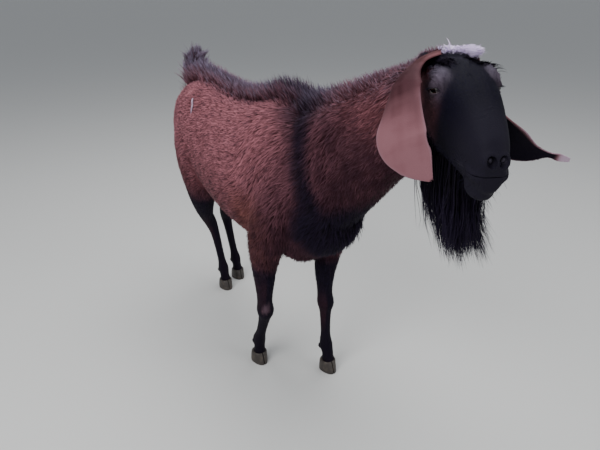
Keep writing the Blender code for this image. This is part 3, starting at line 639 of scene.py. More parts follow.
# %% Length of the hair and depth of the coat
HAIR_LENGTHS = {"trunk": 0.021, "front": 0.027, "breast": 0.034, "leg": 0.010,
                "face": 0.0075, "muzzle": 0.0040, "more on the jaw": 0.025}
COAT_DEPTHS = {"trunk": 0.0055, "leg": 0.0018, "face": 0.0012}


def hair_length(points):
    """The length of hair."""
    x, z = points[:, 0], points[:, 2]
    own = in_head(points)
    length = blend(HAIR_LENGTHS["trunk"], HAIR_LENGTHS["front"], ramp(x, 0.0, 0.25))
    length = blend(length, HAIR_LENGTHS["breast"], ramp(x, 0.22, 0.36) * ramp(-z, -0.66, -0.50))
    length = length * (1 - 0.45 * ramp(x, 0.42, 0.50) * ramp(-own[:, 2], 0.02, 0.08))
    length = blend(length, HAIR_LENGTHS["leg"] * (0.75 + 0.6 * ramp(z, 0.25, 0.45)), leg_share(points))
    face = blend(HAIR_LENGTHS["face"], HAIR_LENGTHS["muzzle"], ramp(own[:, 0], 0.14, 0.25))
    jaw = ramp(-own[:, 2], 0.028, 0.072) * (1 - ramp(own[:, 0], 0.17, 0.23)) * HAIR_LENGTHS["more on the jaw"]
    return blend(length, face + jaw, head_share(points))


def coat_depth(points):
    """How far the skin lies inside the coat's surface."""
    depth = blend(COAT_DEPTHS["trunk"], COAT_DEPTHS["leg"], leg_share(points))
    return blend(depth, COAT_DEPTHS["face"], head_share(points))


print("hair lengths in mm:", {name: round(value * 1000, 1) for name, value in HAIR_LENGTHS.items()})

# %% [markdown]
# ## The skin
# All masses overlap and melt into one voxel skin, which is then smoothed. The
# head keeps nearly all its triangles, and the trunk is thinned, as its coat
# hides it.

# %% Masses of trunk and legs
BODY_PAIRS = {
    "hip": ((-0.290, -0.020, 0.786), 0.086, (0.060, 0.036, 0.046)),
    "pin bone": ((-0.438, -0.030, 0.752), 0.062, (0.040, 0.034, 0.046)),
    "point of the shoulder": ((0.335, -0.008, 0.610), 0.060, (0.055, 0.045, 0.060)),
}
DEWCLAW_PLACE, DEWCLAW_SIZE = (-0.018, 0.012, -0.014), (0.009, 0.007, 0.011)
HOCK_PLACE, HOCK_SIZE = (-0.022, 0.018), (0.016, 0.014, 0.030)
DEWCLAW_ROW, HOCK_ROW = -3, 5


def body_masses():
    """Trunk, neck, tail and legs with their points of bone."""
    trunk = [(x, y, (top + bottom) / 2, (top - bottom) / 2, half, narrower)
             for x, y, top, bottom, half, narrower in TRUNK]
    masses = [tube(trunk, sides=32, power=2.3), tube(NECK), tube(TAIL)]
    for side in (-1, 1):
        for (x, y, z), apart, size in BODY_PAIRS.values():
            masses.append(ball(Vector((x, y + side * apart, z)), size))
    for name, rows in LEGS.items():
        masses.append(tube(rows))
        x, y, z = rows[DEWCLAW_ROW][:3]
        back, apart, down = DEWCLAW_PLACE
        masses += [ball(Vector((x + back, y + side * apart, z + down)), DEWCLAW_SIZE) for side in (-1, 1)]
        if "hind" in name:
            x, y, z = rows[HOCK_ROW][:3]
            back, up = HOCK_PLACE
            masses.append(ball(Vector((x + back, y, z + up)), HOCK_SIZE))
    return masses


print("pairs of points of bone:", ", ".join(BODY_PAIRS))

# %% Masses of the head
HEAD_PAIRS = {
    "brow": ((0.100, 0.042, 0.057), (0.038, 0.018, 0.018)),
    "temple": ((0.070, 0.043, 0.026), (0.048, 0.020, 0.034)),
    "cheekbone": ((0.124, 0.0435, 0.026), (0.036, 0.0165, 0.024)),
    "jaw": ((0.070, 0.036, -0.042), (0.048, 0.020, 0.038)),
    "wing of the nostril": ((0.276, 0.0165, 0.016), (0.020, 0.0105, 0.016)),
    "lip": ((0.268, 0.018, -0.012), (0.030, 0.018, 0.014)),
    "root of the ear": ((0.012, 0.043, 0.034), (0.026, 0.017, 0.022)),
}
HEAD_SINGLE = {
    "chin": ((0.264, -0.002, -0.048), (0.033, 0.026, 0.020)),
    "crown": ((0.030, 0.0, 0.052), (0.050, 0.034, 0.014)),
}


def head_masses():
    """The skull with its brows, cheeks, jaw, nose, lips and roots of the ears."""
    rows = [(x, 0.0, (top + bottom) / 2, (top - bottom) / 2, half, -0.12) for x, top, bottom, half in SKULL]
    masses = [tube(rows, sides=32, power=2.5)]
    for side in (-1, 1):
        masses += [ball(Vector((x, side * y, z)), size) for (x, y, z), size in HEAD_PAIRS.values()]
    masses += [ball(Vector(place), size) for place, size in HEAD_SINGLE.values()]
    for mass in masses:
        mass.transform(HEAD)
    return masses


print("masses of the head:", ", ".join([*HEAD_PAIRS, *HEAD_SINGLE]))

# %% Melt them into one skin and thin its trunk
SKIN_VOXEL = 0.0028
SKIN_TRIANGLES = 119000
HEAD_THINNING = 0.05
skin = new_object("skin", joined(body_masses() + head_masses()))
remesh = skin.modifiers.new("melt", "REMESH")
remesh.mode = "VOXEL"
remesh.voxel_size = SKIN_VOXEL
even = skin.modifiers.new("even", "SMOOTH")
even.factor = 0.5
even.iterations = 15
bake(skin)
points, triangles, normals = arrays(skin)
group = skin.vertex_groups.new(name="trunk")
on_head = head_share(points) > 0.5
group.add(np.nonzero(~on_head)[0].tolist(), 1.0, "REPLACE")
group.add(np.nonzero(on_head)[0].tolist(), HEAD_THINNING, "REPLACE")
thin = skin.modifiers.new("thin", "DECIMATE")
thin.ratio = SKIN_TRIANGLES / len(triangles)
thin.vertex_group = "trunk"
thin.use_collapse_triangulate = True
bake(skin)
print("skin:", len(triangles), "triangles melted,", len(skin.data.polygons), "kept")

# %% [markdown]
# ## Folds of the face
# Loose skin folds round the lids, across the bridge of the nose and behind the
# corner of the mouth. The mesh is made finer there first, because a fold needs
# a few points across it, and then each point moves along its normal.

# %% Helpers: where the eyes look
def eye_turn(side):
    """The turn from +X to where an eye faces."""
    facing = Vector((EYE_FACING.x, EYE_FACING.y * side, EYE_FACING.z)).normalized()
    return facing.to_track_quat("X", "Z").to_matrix()


def eye_centre(side):
    """The middle of an eye, in the head's frame."""
    return Vector((EYE.x, EYE.y * side, EYE.z))


def lid_tilt(side):
    """The turn that brings the lids' opening level while the nose points down."""
    return Matrix.Rotation(side * LID_TILT, 3, "X")


print("the right eye looks along", tuple(round(value, 2) for value in eye_turn(-1) @ Vector((1, 0, 0))))

# %% Make the face finer
FINE_EDGE = 0.0019


def on_fine_face(own):
    """True near the eyes, on the nose and on the lips."""
    near_eye = min((own - eye_centre(side)).length for side in (-1, 1)) < 0.040
    return near_eye or (own.x > 0.205 and own.z > -0.060) or (0.13 < own.x <= 0.205 and own.z > 0.045)


bm = bmesh.new()
bm.from_mesh(skin.data)
to_head = HEAD.inverted()
for _ in range(2):
    fine = {vert for vert in bm.verts if on_fine_face(to_head @ vert.co)}
    long_edges = [edge for edge in bm.edges if edge.verts[0] in fine and edge.verts[1] in fine
                  and edge.calc_length() > FINE_EDGE]
    bmesh.ops.subdivide_edges(bm, edges=long_edges, cuts=1)
    bmesh.ops.triangulate(bm, faces=[face for face in bm.faces if len(face.verts) > 3])
face_points = [vert for vert in bm.verts if on_fine_face(to_head @ vert.co)]
smooth(bm, face_points, 3)
bm.to_mesh(skin.data)
bm.free()
print("skin with a fine face:", len(skin.data.polygons), "triangles")


# %% Sink the skin by the depth of the coat and fold it
def relief(points):
    """How far folds and rims stand out from the face."""
    own = in_head(points)
    from_eye = distance(own, EYE)
    creases = np.cos((from_eye - 0.0200) * 2 * math.pi / 0.0058 + 0.5 * np.sin(own[:, 0] * 160))
    creases = creases * ramp(from_eye, 0.0180, 0.0205) * (1 - ramp(from_eye, 0.030, 0.040))
    above = 0.35 + 0.65 * ramp(np.abs(own[:, 2] - EYE.z), 0.004, 0.014)
    bridge = np.sin(own[:, 0] * 760 + 2.2 * np.sin(own[:, 1] * 110) + 2.5 * np.sin(own[:, 0] * 67))
    on_bridge = hump(own[:, 0], 0.200, 0.035) * ramp(own[:, 2], 0.025, 0.055)
    on_bridge = on_bridge * ramp(mottle(own * 1.3), -0.2, 0.5)
    from_corner = distance(own, MOUTH_CORNER)
    cheek = np.cos(from_corner * 2 * math.pi / 0.0085)
    cheek = cheek * ramp(from_corner, 0.004, 0.009) * (1 - ramp(from_corner, 0.020, 0.032))
    from_nostril = distance(own, (NOSTRIL[0] - 0.001, NOSTRIL[1], NOSTRIL[2]), NOSE_MIDDLE, (1.0, 1.1, 1.0))
    wing = np.exp(-((from_nostril - 0.0122) / 0.0034) ** 2)
    above_mouth = own[:, 2] - column(MOUTH_LINE, own[:, 0])
    lips = np.exp(-((above_mouth - 0.0045) / 0.0030) ** 2) * ramp(own[:, 0], 0.225, 0.250)
    folds = 0.00085 * creases * above + 0.00022 * bridge * on_bridge + 0.00060 * cheek
    return head_share(points) * (folds + 0.0014 * wing + 0.0006 * lips)


SOLE_CLEARANCE = 0.0385
points, triangles, normals = arrays(skin)
sunk = points + normals * (relief(points) - coat_depth(points))[:, None]
sunk[:, 2] = np.maximum(sunk[:, 2], SOLE_CLEARANCE)
skin.data.vertices.foreach_set("co", sunk.ravel())
skin.data.update()
depths = coat_depth(points) * 1000
print("sunk by", round(float(depths.min()), 1), "to", round(float(depths.max()), 1), "mm")

# %% [markdown]
# ## Lids, nostrils and mouth
# A lid is a thin shell round the eyeball with an almond opening. Joining a ball
# to the skin and cutting a smaller one leaves just that shell.

# %% Shape the face
def mouth_cutter():
    """A thin slab along the line of the mouth."""
    bm = bmesh.new()
    rings = []
    for x, z in smooth_rows(MOUTH_LINE, 3):
        def place(c, s, x=x, z=z):
            return Vector((x, 0.05 * c, z + 0.0011 * s))
        rings.append(ring(bm, 12, place))
    return bridged(bm, rings)


LID_THICKNESS, EYE_GAP = 0.0028, 0.0003
OPENING_SIZE = (0.016, LID_LENGTH + 0.0007, LID_HEIGHT + 0.0006)
NOSTRIL_SIZE, NOSTRIL_FOLD_SIZE = (0.013, 0.0077, 0.0101), (0.0050, 0.0036, 0.0058)
NOSTRIL_FOLD_PLACE = Vector((-0.0095, 0.0, -0.0015))
NOSTRIL_YAW, NOSTRIL_ROLL = math.radians(24), math.radians(-28)
lids = [ball(eye_centre(side), [EYE_RADIUS + LID_THICKNESS] * 3, segments=36) for side in (-1, 1)]
cuts, folds_inside = [mouth_cutter()], []
for side in (-1, 1):
    turn = eye_turn(side)
    ahead = turn @ Vector((EYE_RADIUS, 0.0, 0.0))
    cuts.append(ball(eye_centre(side), [EYE_RADIUS + EYE_GAP] * 3, turn, 36))
    cuts.append(ball(eye_centre(side) + ahead, OPENING_SIZE, turn @ lid_tilt(side), 36))
    slant = Matrix.Rotation(side * NOSTRIL_YAW, 3, "Z") @ Matrix.Rotation(side * NOSTRIL_ROLL, 3, "X")
    nostril = Vector((NOSTRIL[0], NOSE_MIDDLE + side * NOSTRIL[1], NOSTRIL[2]))
    cuts.append(ball(nostril, NOSTRIL_SIZE, slant, 24))
    folds_inside.append(ball(nostril + NOSTRIL_FOLD_PLACE, NOSTRIL_FOLD_SIZE, slant, 20))
for shape in lids + cuts + folds_inside:
    shape.transform(HEAD)
combine(skin, lids, "UNION")
combine(skin, cuts, "DIFFERENCE")
combine(skin, folds_inside, "UNION")
print("skin with its face:", len(skin.data.polygons), "faces")

# %% [markdown]
# ## The ears
# A long ear is one thin sheet of skin and gristle: a tube at its root that opens
# below and hangs. A grid bent round each station gives the sheet, and Solidify
# its thickness.

# %% Make both ears
def ear_sheet(rows, columns=28, steps=8):
    """A curled sheet that follows an ear's stations, and each point's share down it and across it."""
    rows = smooth_rows(rows, steps)
    centres = [Vector(row[:3]) for row in rows]
    bm = bmesh.new()
    bmesh.ops.create_grid(bm, x_segments=columns, y_segments=len(rows) - 1, size=0.5)
    shares = []
    for vert in bm.verts:
        across_share = vert.co.x
        i = round((vert.co.y + 0.5) * (len(rows) - 1))
        down_share = i / (len(rows) - 1)
        shares.append((down_share, 2 * across_share))
        row = rows[i]
        down = (centres[min(i + 1, len(rows) - 1)] - centres[max(i - 1, 0)]).normalized()
        curl, bearing = math.radians(row[4]), math.radians(row[5])
        out = Vector((math.cos(bearing), math.sin(bearing), 0.0))
        out = (out - down * out.dot(down)).normalized()
        across = down.cross(out)
        radius = 2 * row[3] / curl
        angle = curl * across_share
        fold = 0.0012 * math.sin(across_share * 17 + 1.0 + 0.02 * i)
        fold = fold * min(1.0, 4 * down_share) * (1 - down_share)
        middle = centres[i] - out * (radius * (1 - math.cos(angle)) - fold)
        vert.co = middle + across * radius * math.sin(angle)
    hanging = [vert for vert, share in zip(bm.verts, shares) if 0.35 < share[0] < 0.80]
    smooth(bm, hanging, 8)
    return bm, np.array(shares)


def ear_places(side, ear, shares):
    """For each point of an ear: its share down and across, 1 on the outer side, and the way down."""
    count = len(shares)
    points, triangles, normals = arrays(ear)
    fine = np.array(smooth_rows(EARS[side], 8))
    stations = np.linspace(0, 1, len(fine))
    slopes = np.gradient(fine[:, :3], axis=0)
    ahead = unit(np.stack([np.interp(shares[:, 0], stations, slopes[:, k]) for k in range(3)], axis=1))
    bearing = np.radians(np.interp(shares[:, 0], stations, fine[:, 5]))
    out = np.stack([np.cos(bearing), np.sin(bearing), np.zeros(count)], axis=1)
    middle = (shares[:, 0] > 0.5) & (np.abs(shares[:, 1]) < 0.4)
    first_is_outer = (normals[:count] * out)[middle].sum() > 0
    outer = np.concatenate([np.full(count, float(first_is_outer)), np.full(count, float(not first_is_outer))])
    return np.concatenate([np.tile(shares, (2, 1)), outer[:, None], np.tile(ahead, (2, 1))], axis=1)


EAR_THICKNESS = 0.0026
ears, on_ears = {}, {}
for side, rows in EARS.items():
    sheet, shares = ear_sheet(rows)
    ear = new_object(side + " ear", sheet)
    wall = ear.modifiers.new("wall", "SOLIDIFY")
    wall.thickness = EAR_THICKNESS
    wall.offset = 0.0
    bake(ear)
    bm = bmesh.new()
    bm.from_mesh(ear.data)
    bmesh.ops.triangulate(bm, faces=bm.faces)
    bmesh.ops.recalc_face_normals(bm, faces=bm.faces)
    bm.to_mesh(ear.data)
    bm.free()
    ears[side] = ear
    on_ears[side] = ear_places(side, ear, shares)
    print(side, "ear:", len(ear.data.polygons), "faces")

# %% [markdown]
# ## Tufts
# A tuft of hair is a narrow tapered blade of a few triangles. Tens of thousands
# are made at once as arrays: roots scattered over the skin, then the blade's
# rings along its curve, and last a point.

# %% Helpers: scatter roots and wrap the skin
SEED = 20
PATCH = 0.003
rng = np.random.default_rng(SEED)


def scatter(obj, count, density, carried=None):
    """Roots spread over an object, with their outward directions and any values its points carry."""
    points, triangles, normals = arrays(obj)
    corners = points[triangles]
    areas = np.linalg.norm(np.cross(corners[:, 1] - corners[:, 0], corners[:, 2] - corners[:, 0]), axis=1) / 2
    weights = areas * density(corners.mean(axis=1))
    chosen = rng.choice(len(triangles), size=count, p=weights / weights.sum())
    a, b = np.sqrt(rng.random(count)), rng.random(count)
    shares = np.stack([1 - a, a * (1 - b), a * b], axis=1)[:, :, None]
    roots = (corners[chosen] * shares).sum(axis=1)
    outward = unit((normals[triangles[chosen]] * shares).sum(axis=1))
    if carried is None:
        return roots, outward
    return roots, outward, (carried[triangles[chosen]] * shares).sum(axis=1)


def wrapped(points, axis, tile):
    """Places on an unwrap of the skin: along a limb's axis and round it, inside a tile."""
    axis = np.array(axis)
    parts = axis[1:] - axis[:-1]
    lengths = np.linalg.norm(parts, axis=1)
    starts = np.concatenate([[0], np.cumsum(lengths)])
    share = ((points[:, None, :] - axis[None, :-1]) * parts).sum(axis=2) / lengths ** 2
    share = np.clip(share, 0, 1)
    near = axis[None, :-1] + share[:, :, None] * parts
    gaps = np.linalg.norm(points[:, None, :] - near, axis=2)
    best = gaps.argmin(axis=1)
    rows = np.arange(len(points))
    along = (starts[best] + share[rows, best] * lengths[best]) / starts[-1]
    ahead = unit(parts)[best]
    side = unit(np.cross(ahead, np.cross(np.array((0.0, 1.0, 0.0)), ahead)))
    away = points - near[rows, best]
    round_axis = np.arctan2((away * side).sum(axis=1), (away * np.cross(ahead, side)).sum(axis=1))
    around = round_axis / (2 * math.pi) + 0.5
    u = tile[0] + 2 * PATCH + around * (tile[2] - 4 * PATCH)
    v = tile[1] + 2 * PATCH + along * (tile[3] - 4 * PATCH)
    return np.stack([u, v], axis=1)


# %% Helpers: build a piece of coat
NO_TONES = (0.0, 0.0, 0.0)


def blades(name, paths, across, widths, places, marks, tones):
    """One piece of coat: tapered blades along their paths, with markings and an unwrap."""
    count, rings = paths.shape[0], paths.shape[1] - 1
    marks, tones = np.broadcast_to(marks, (count, 3)), np.broadcast_to(tones, (count, 3))
    taper = np.interp(np.linspace(0, 1, rings + 1)[:-1], (0, 0.35, 1.0), (0.75, 1.0, 0.12))
    half = across[:, None, :] * (widths[:, None, None] * taper[None, :, None] / 2)
    edges = np.stack([paths[:, :-1] - half, paths[:, :-1] + half], axis=2)
    points = np.concatenate([edges.reshape(count, rings * 2, 3), paths[:, -1:]], axis=1)
    per = rings * 2 + 1
    faces = []
    for k in range(rings - 1):
        faces += [(2 * k, 2 * k + 1, 2 * k + 3), (2 * k, 2 * k + 3, 2 * k + 2)]
    faces.append((2 * rings - 2, 2 * rings - 1, 2 * rings))
    faces = (np.array(faces)[None] + (np.arange(count) * per)[:, None, None]).reshape(-1, 3)
    mesh = bpy.data.meshes.new(name)
    mesh.vertices.add(count * per)
    mesh.vertices.foreach_set("co", (points + np.array(SHIFT)).astype(np.float32).ravel())
    mesh.loops.add(len(faces) * 3)
    mesh.loops.foreach_set("vertex_index", faces.astype(np.int32).ravel())
    mesh.polygons.add(len(faces))
    mesh.polygons.foreach_set("loop_start", np.arange(0, len(faces) * 3, 3, dtype=np.int32))
    mesh.update(calc_edges=True)
    along = np.concatenate([np.repeat(np.linspace(0, 1, rings + 1)[:-1], 2), [1.0]])
    sideways = np.concatenate([np.tile((-0.5, 0.5), rings), [0.0]])
    spots = places[:, None, :] + np.stack([sideways * PATCH, (along - 0.5) * PATCH], axis=1)[None]
    uv = mesh.uv_layers.new(name="OFBake")
    uv.data.foreach_set("uv", spots.reshape(-1, 2)[faces.ravel()].astype(np.float32).ravel())
    strand = np.stack([np.repeat(rng.random(count), per), np.tile(along, count),
                       np.repeat(rng.random(count), per)], axis=1)
    paint(mesh, "markings", np.repeat(marks, per, axis=0))
    paint(mesh, "tones", np.repeat(tones, per, axis=0))
    paint(mesh, "strand", strand)
    mesh.shade_smooth()
    obj = bpy.data.objects.new(name, mesh)
    bpy.context.scene.collection.objects.link(obj)
    return obj


def paint(mesh, name, values):
    """Store three numbers a point."""
    layer = mesh.color_attributes.new(name, "FLOAT_COLOR", "POINT")
    filled = np.concatenate([values, np.ones((len(values), 1))], axis=1)
    layer.data.foreach_set("color", filled.astype(np.float32).ravel())


# %% Curve of a short blade
def curved(roots, normals, lies, lengths, lift, rings=3):
    """Paths that leave the skin and bend to the lie of the coat."""
    flat = unit(lies - normals * (lies * normals).sum(axis=1, keepdims=True))
    stray = rng.normal(0, 0.20, (len(roots), 1)) * np.cross(normals, flat)
    flat = unit(flat + stray)
    steps = np.linspace(0, 1, rings + 1)
    paths = [roots - normals * 0.0012]
    for before, after in zip(steps, steps[1:]):
        rise = lift * (1.35 - after) * 1.6
        ahead = unit(flat + normals * rise[:, None])
        paths.append(paths[-1] + ahead * ((after - before) * lengths)[:, None])
    paths = np.stack(paths, axis=1)
    roll = rng.normal(0, 0.35, (len(roots), 1))
    across = unit(np.cross(normals, flat) + normals * roll)
    return paths, across


# %% [markdown]
# ## The short coat
# Tufts crowd on the face and feet, where they are smallest. Each region is
# split into pieces so that none grows too large.

# %% Regions of the coat: an axis and a tile of the unwrap for each
AXES = {
    "trunk": [(-0.50, -0.033, 0.72), (-0.2, -0.016, 0.66), (0.2, -0.012, 0.66),
              *(row[:3] for row in NECK[1:5] + NECK[6:])],
    "head": [tuple(HEAD @ Vector((x, 0.0, -0.005))) for x in (-0.05, 0.05, 0.15, 0.30)],
    "tail": [row[:3] for row in TAIL],
}
AXES.update({name: [row[:3] for row in rows[3:]] for name, rows in LEGS.items()})
TILES = {
    "trunk": (0.0, 0.0, 1.0, 0.50), "head": (0.0, 0.50, 0.50, 0.25), "tail": (0.50, 0.50, 0.15, 0.25),
    "right_fore": (0.0, 0.75, 0.20, 0.25), "left_fore": (0.20, 0.75, 0.20, 0.25),
    "right_hind": (0.40, 0.75, 0.20, 0.25), "left_hind": (0.60, 0.75, 0.20, 0.25),
}


def on_unwrap(points, region):
    """Places of a region's points on the unwrap."""
    return wrapped(points, AXES[region], TILES[region])


def region_of(points):
    """The name of the region that each root belongs to."""
    names = np.full(len(points), "trunk", dtype=object)
    legs = leg_share(points) > 0.3
    fore = points[:, 0] > -0.1
    right = np.where(fore, points[:, 1] < -0.02, points[:, 1] < 0.030)
    for name, mask in (("right_fore", fore & right), ("left_fore", fore & ~right),
                       ("right_hind", ~fore & right), ("left_hind", ~fore & ~right)):
        names[legs & mask] = name
    names[head_share(points) > 0.5] = "head"
    names[tail_share(points) > 0.5] = "tail"
    return names


print("regions:", ", ".join(AXES))


# %% Where tufts crowd and where no hair grows
def density(points):
    """More tufts where hair is short."""
    own = in_head(points)
    return blend(1.0 + 1.6 * leg_share(points), 4.5 + 2.0 * ramp(own[:, 0], 0.14, 0.25), head_share(points))


def bare(points):
    """Where no hair grows: eyes, nostrils, the inside of the mouth, the knee's callus and under the feet."""
    own = in_head(points)
    opening = distance(own, eye_centre(1) + eye_turn(1) @ Vector((0.012, 0, 0))) < 0.0125
    on_eye = distance(own, EYE) < EYE_RADIUS + 0.0012
    nose = distance(own, NOSTRIL, NOSE_MIDDLE, (1 / 1.4, 1 / 0.7, 1.0)) < 0.0105
    mouth = (own[:, 0] > 0.220) & (np.abs(own[:, 2] - column(MOUTH_LINE, own[:, 0])) < 0.0020)
    return opening | on_eye | nose | mouth | (from_knee(points) < 0.0080) | (points[:, 2] < 0.041)


# %% Grow the short coat
COAT_COUNT = 222000
BLADES_A_PIECE = 38000
FLECK = 0.62
FLOOR_CLEARANCE = 0.036
coat = []
roots, normals = scatter(skin, COAT_COUNT, density)
keep = ~bare(roots)
roots, normals = roots[keep], normals[keep]
lengths = hair_length(roots) * rng.uniform(0.7, 1.3, len(roots))
fluffy = ramp(roots[:, 0], 0.10, 0.45) * (1 - head_share(roots))
lift = (0.10 + 0.14 * rng.random(len(roots))) * (1 + 0.9 * fluffy)
paths, across = curved(roots, normals, lie(roots), lengths, lift)
widths = np.clip(lengths * 0.105, 0.0009, 0.0026) * rng.uniform(0.7, 1.2, len(roots))
marks, tones = markings(roots)
dark_fleck = rng.random(len(roots)) < 0.16 + 0.10 * mottle(roots * 1.7)
marks[:, 0] = np.where(dark_fleck, np.maximum(marks[:, 0], FLECK), marks[:, 0])
clear = paths[:, :, 2].min(axis=1) > FLOOR_CLEARANCE
regions = region_of(roots)
for region in AXES:
    chosen = np.nonzero((regions == region) & clear)[0]
    for number, part in enumerate(np.array_split(chosen, len(chosen) // BLADES_A_PIECE + 1)):
        coat.append(blades(f"coat_{region}_{number + 1}", paths[part], across[part], widths[part],
                           on_unwrap(roots[part], region), marks[part], tones[part]))
    print(region, len(chosen), "tufts")

# %% Grow the pale streak on the hip
bm = bmesh.new()
bm.from_mesh(skin.data)
skin_tree = BVHTree.FromBMesh(bm)
bm.free()


def on_skin(places):
    """The nearest points of the skin, and its outward directions there."""
    found = [skin_tree.find_nearest(place) for place in places]
    return np.array([tuple(hit[0]) for hit in found]), np.array([tuple(hit[1]) for hit in found])


STREAK_HAIRS = 150
STREAK_MARKS = (0.0, 0.50, 0.0)
way = STREAK[1] - STREAK[0]
along = rng.random(STREAK_HAIRS)[:, None]
starts = STREAK[0] + along * way + rng.normal(0, 0.0011, (STREAK_HAIRS, 3))
starts, outward = on_skin([Vector(start) for start in starts])
starts = starts + outward * 0.005
paths, across = curved(starts, outward, np.tile(unit(way), (STREAK_HAIRS, 1)),
                       rng.uniform(0.010, 0.018, STREAK_HAIRS), np.full(STREAK_HAIRS, 0.16))
coat.append(blades("coat_streak", paths, across, rng.uniform(0.0008, 0.0014, STREAK_HAIRS),
                   on_unwrap(starts, "trunk"), STREAK_MARKS, NO_TONES))
print("streak:", STREAK_HAIRS, "blades")

# %% [markdown]
# ## Raised hair along neck, back and rump
# Long hair stands up along the ridge when the goat is alert. Its blades bend
# along their length, lean back, and end in grey.

# %% Grow the raised hair
RIDGE_COUNT = 11000
RIDGE_LENGTHS = ((-0.455, 0.074), (-0.42, 0.088), (-0.38, 0.080), (-0.33, 0.062), (-0.28, 0.046),
                 (-0.20, 0.044), (-0.06, 0.052), (0.08, 0.062), (0.20, 0.070), (0.28, 0.068),
                 (0.345, 0.052), (0.46, 0.034), (0.56, 0.020), (0.62, 0.016))
RIDGE_DARK = ((-0.45, 0.64), (-0.30, 0.68), (0.0, 0.78), (0.36, 0.97), (0.44, 0.45), (0.60, 0.30))
RIDGE_GREY = ((0.0, 0.90), (0.20, 0.42), (0.36, 0.42), (0.45, 0.75))
RIDGE_LIE, RIDGE_DROOP = np.array((-0.50, 0.0, 0.86)), np.array((-0.35, 0, -0.30))


def ridge_density(points):
    """Only along the ridge, ahead of the tail and behind the head."""
    return ridge_share(points) ** 2 * (1 - head_share(points)) * ramp(points[:, 0], -0.48, -0.45) + 1e-9


roots, normals = scatter(skin, RIDGE_COUNT, ridge_density)
keep = ridge_share(roots) > 0.12
roots, normals = roots[keep], normals[keep]
crowded = 0.5 + 0.5 * ridge_share(roots)
lengths = column(RIDGE_LENGTHS, roots[:, 0]) * rng.uniform(0.55, 1.12, len(roots)) * crowded
clump = rng.normal(0, 1, (len(roots), 3)) * 0.16
lean = unit(RIDGE_LIE + (roots[:, 1:2] + 0.01) * np.array((0.0, 5.0, 0.0)) + clump)
steps = np.linspace(0, 1, 6)
paths = [roots - normals * 0.003]
for before, after in zip(steps, steps[1:]):
    ahead = unit(normals * (1 - after) * 0.7 + lean + RIDGE_DROOP * after ** 2)
    paths.append(paths[-1] + ahead * ((after - before) * (lengths + 0.006))[:, None])
paths = np.stack(paths, axis=1)
across = unit(np.cross(lean, rng.normal(0, 1, (len(roots), 3))))
marks, tones = markings(roots)
dark = column(RIDGE_DARK, roots[:, 0]) * rng.uniform(0.75, 1.0, len(roots))
grey = column(RIDGE_GREY, roots[:, 0]) * rng.random(len(roots))
marks[:, 0], marks[:, 2] = np.maximum(marks[:, 0], dark), np.maximum(marks[:, 2], grey)
coat.append(blades("coat_ridge", paths, across, rng.uniform(0.0012, 0.0026, len(roots)),
                   on_unwrap(roots, "trunk"), marks, tones))
print("ridge:", len(roots), "blades")

# %% [markdown]
# ## Beard, tail and poll
# Long hair hangs or stands in locks. Each lock is a curve, and its hairs start
# spread over the skin and draw together towards its end.

# %% Helper: locks of long hair
def long_hair(name, starts, way_at, hairs, spread, width, rings, region, marks, gather=0.4, wave=0.004):
    """Locks of long hair: way_at gives each lock's curve, and its hairs gather to its tip."""
    middle = np.repeat(starts, hairs, axis=0)
    offsets = rng.normal(0, spread, (len(middle), 3))
    share = np.linspace(0, 1, rings + 1)
    curves = np.repeat(np.stack([way_at(t) for t in share], axis=1), hairs, axis=0)
    shrink = rng.uniform(0.78, 1.06, (len(middle), 1, 1))
    gathered = np.interp(share, (0, 0.6, 1.0), (1.0, 0.9, gather))[None, :, None]
    waves = wave * np.sin(share * 9 + rng.random((len(middle), 1)) * 6.0)[:, :, None]
    waves = waves * rng.normal(0, 1, (len(middle), 1, 3)) * share[None, :, None]
    paths = middle[:, None] + curves * shrink + offsets[:, None] * gathered + waves
    ahead = unit(paths[:, -1] - paths[:, 0])
    across = unit(np.cross(ahead, rng.normal(0, 1, (len(middle), 3))))
    widths = rng.uniform(0.7, 1.3, len(middle)) * width
    return blades(name, paths, across, widths, on_unwrap(paths[:, 0], region), marks, NO_TONES)


def as_rows(places):
    """A list of vectors as an array."""
    return np.array([tuple(place) for place in places])


# %% Grow the beard: x of each row and its length
BEARD_ROWS = ((0.070, 0.145), (0.090, 0.170), (0.110, 0.188), (0.130, 0.198), (0.150, 0.204), (0.170, 0.200),
              (0.188, 0.188), (0.204, 0.160))
starts, drops, sweeps = [], [], []
for x, length in BEARD_ROWS:
    half = np.interp(x, (0.07, 0.12, 0.20), (0.041, 0.033, 0.018))
    for y in np.linspace(-half, half, 8):
        starts.append(HEAD @ Vector((x + rng.uniform(-0.008, 0.008), y, -0.058)))
        drops.append(length * rng.uniform(0.85, 1.04) + 0.012)
        apart = 2.1 * y + rng.normal(0, 0.05)
        sweeps.append((0.03 + (0.190 - x) * 1.4 + apart * 0.42, 0.07 + apart * 0.91))
starts, drops, sweeps = as_rows(starts), np.array(drops)[:, None], np.array(sweeps)
phases = rng.random((len(starts), 2)) * 6.28


def beard_curve(t):
    """The way from a lock's start at share t of its length."""
    sway = 0.007 * t * np.sin(t * 7.0 + phases)
    across = sweeps * drops * t ** 2.0 + sway
    return np.concatenate([across, -drops * t], axis=1)


coat.append(long_hair("coat_beard", starts, beard_curve, hairs=72, spread=0.0070, width=0.0018, rings=9,
                      region="head", marks=(0.99, 0.003, 0.0), gather=0.85))
print("beard:", len(starts), "locks")

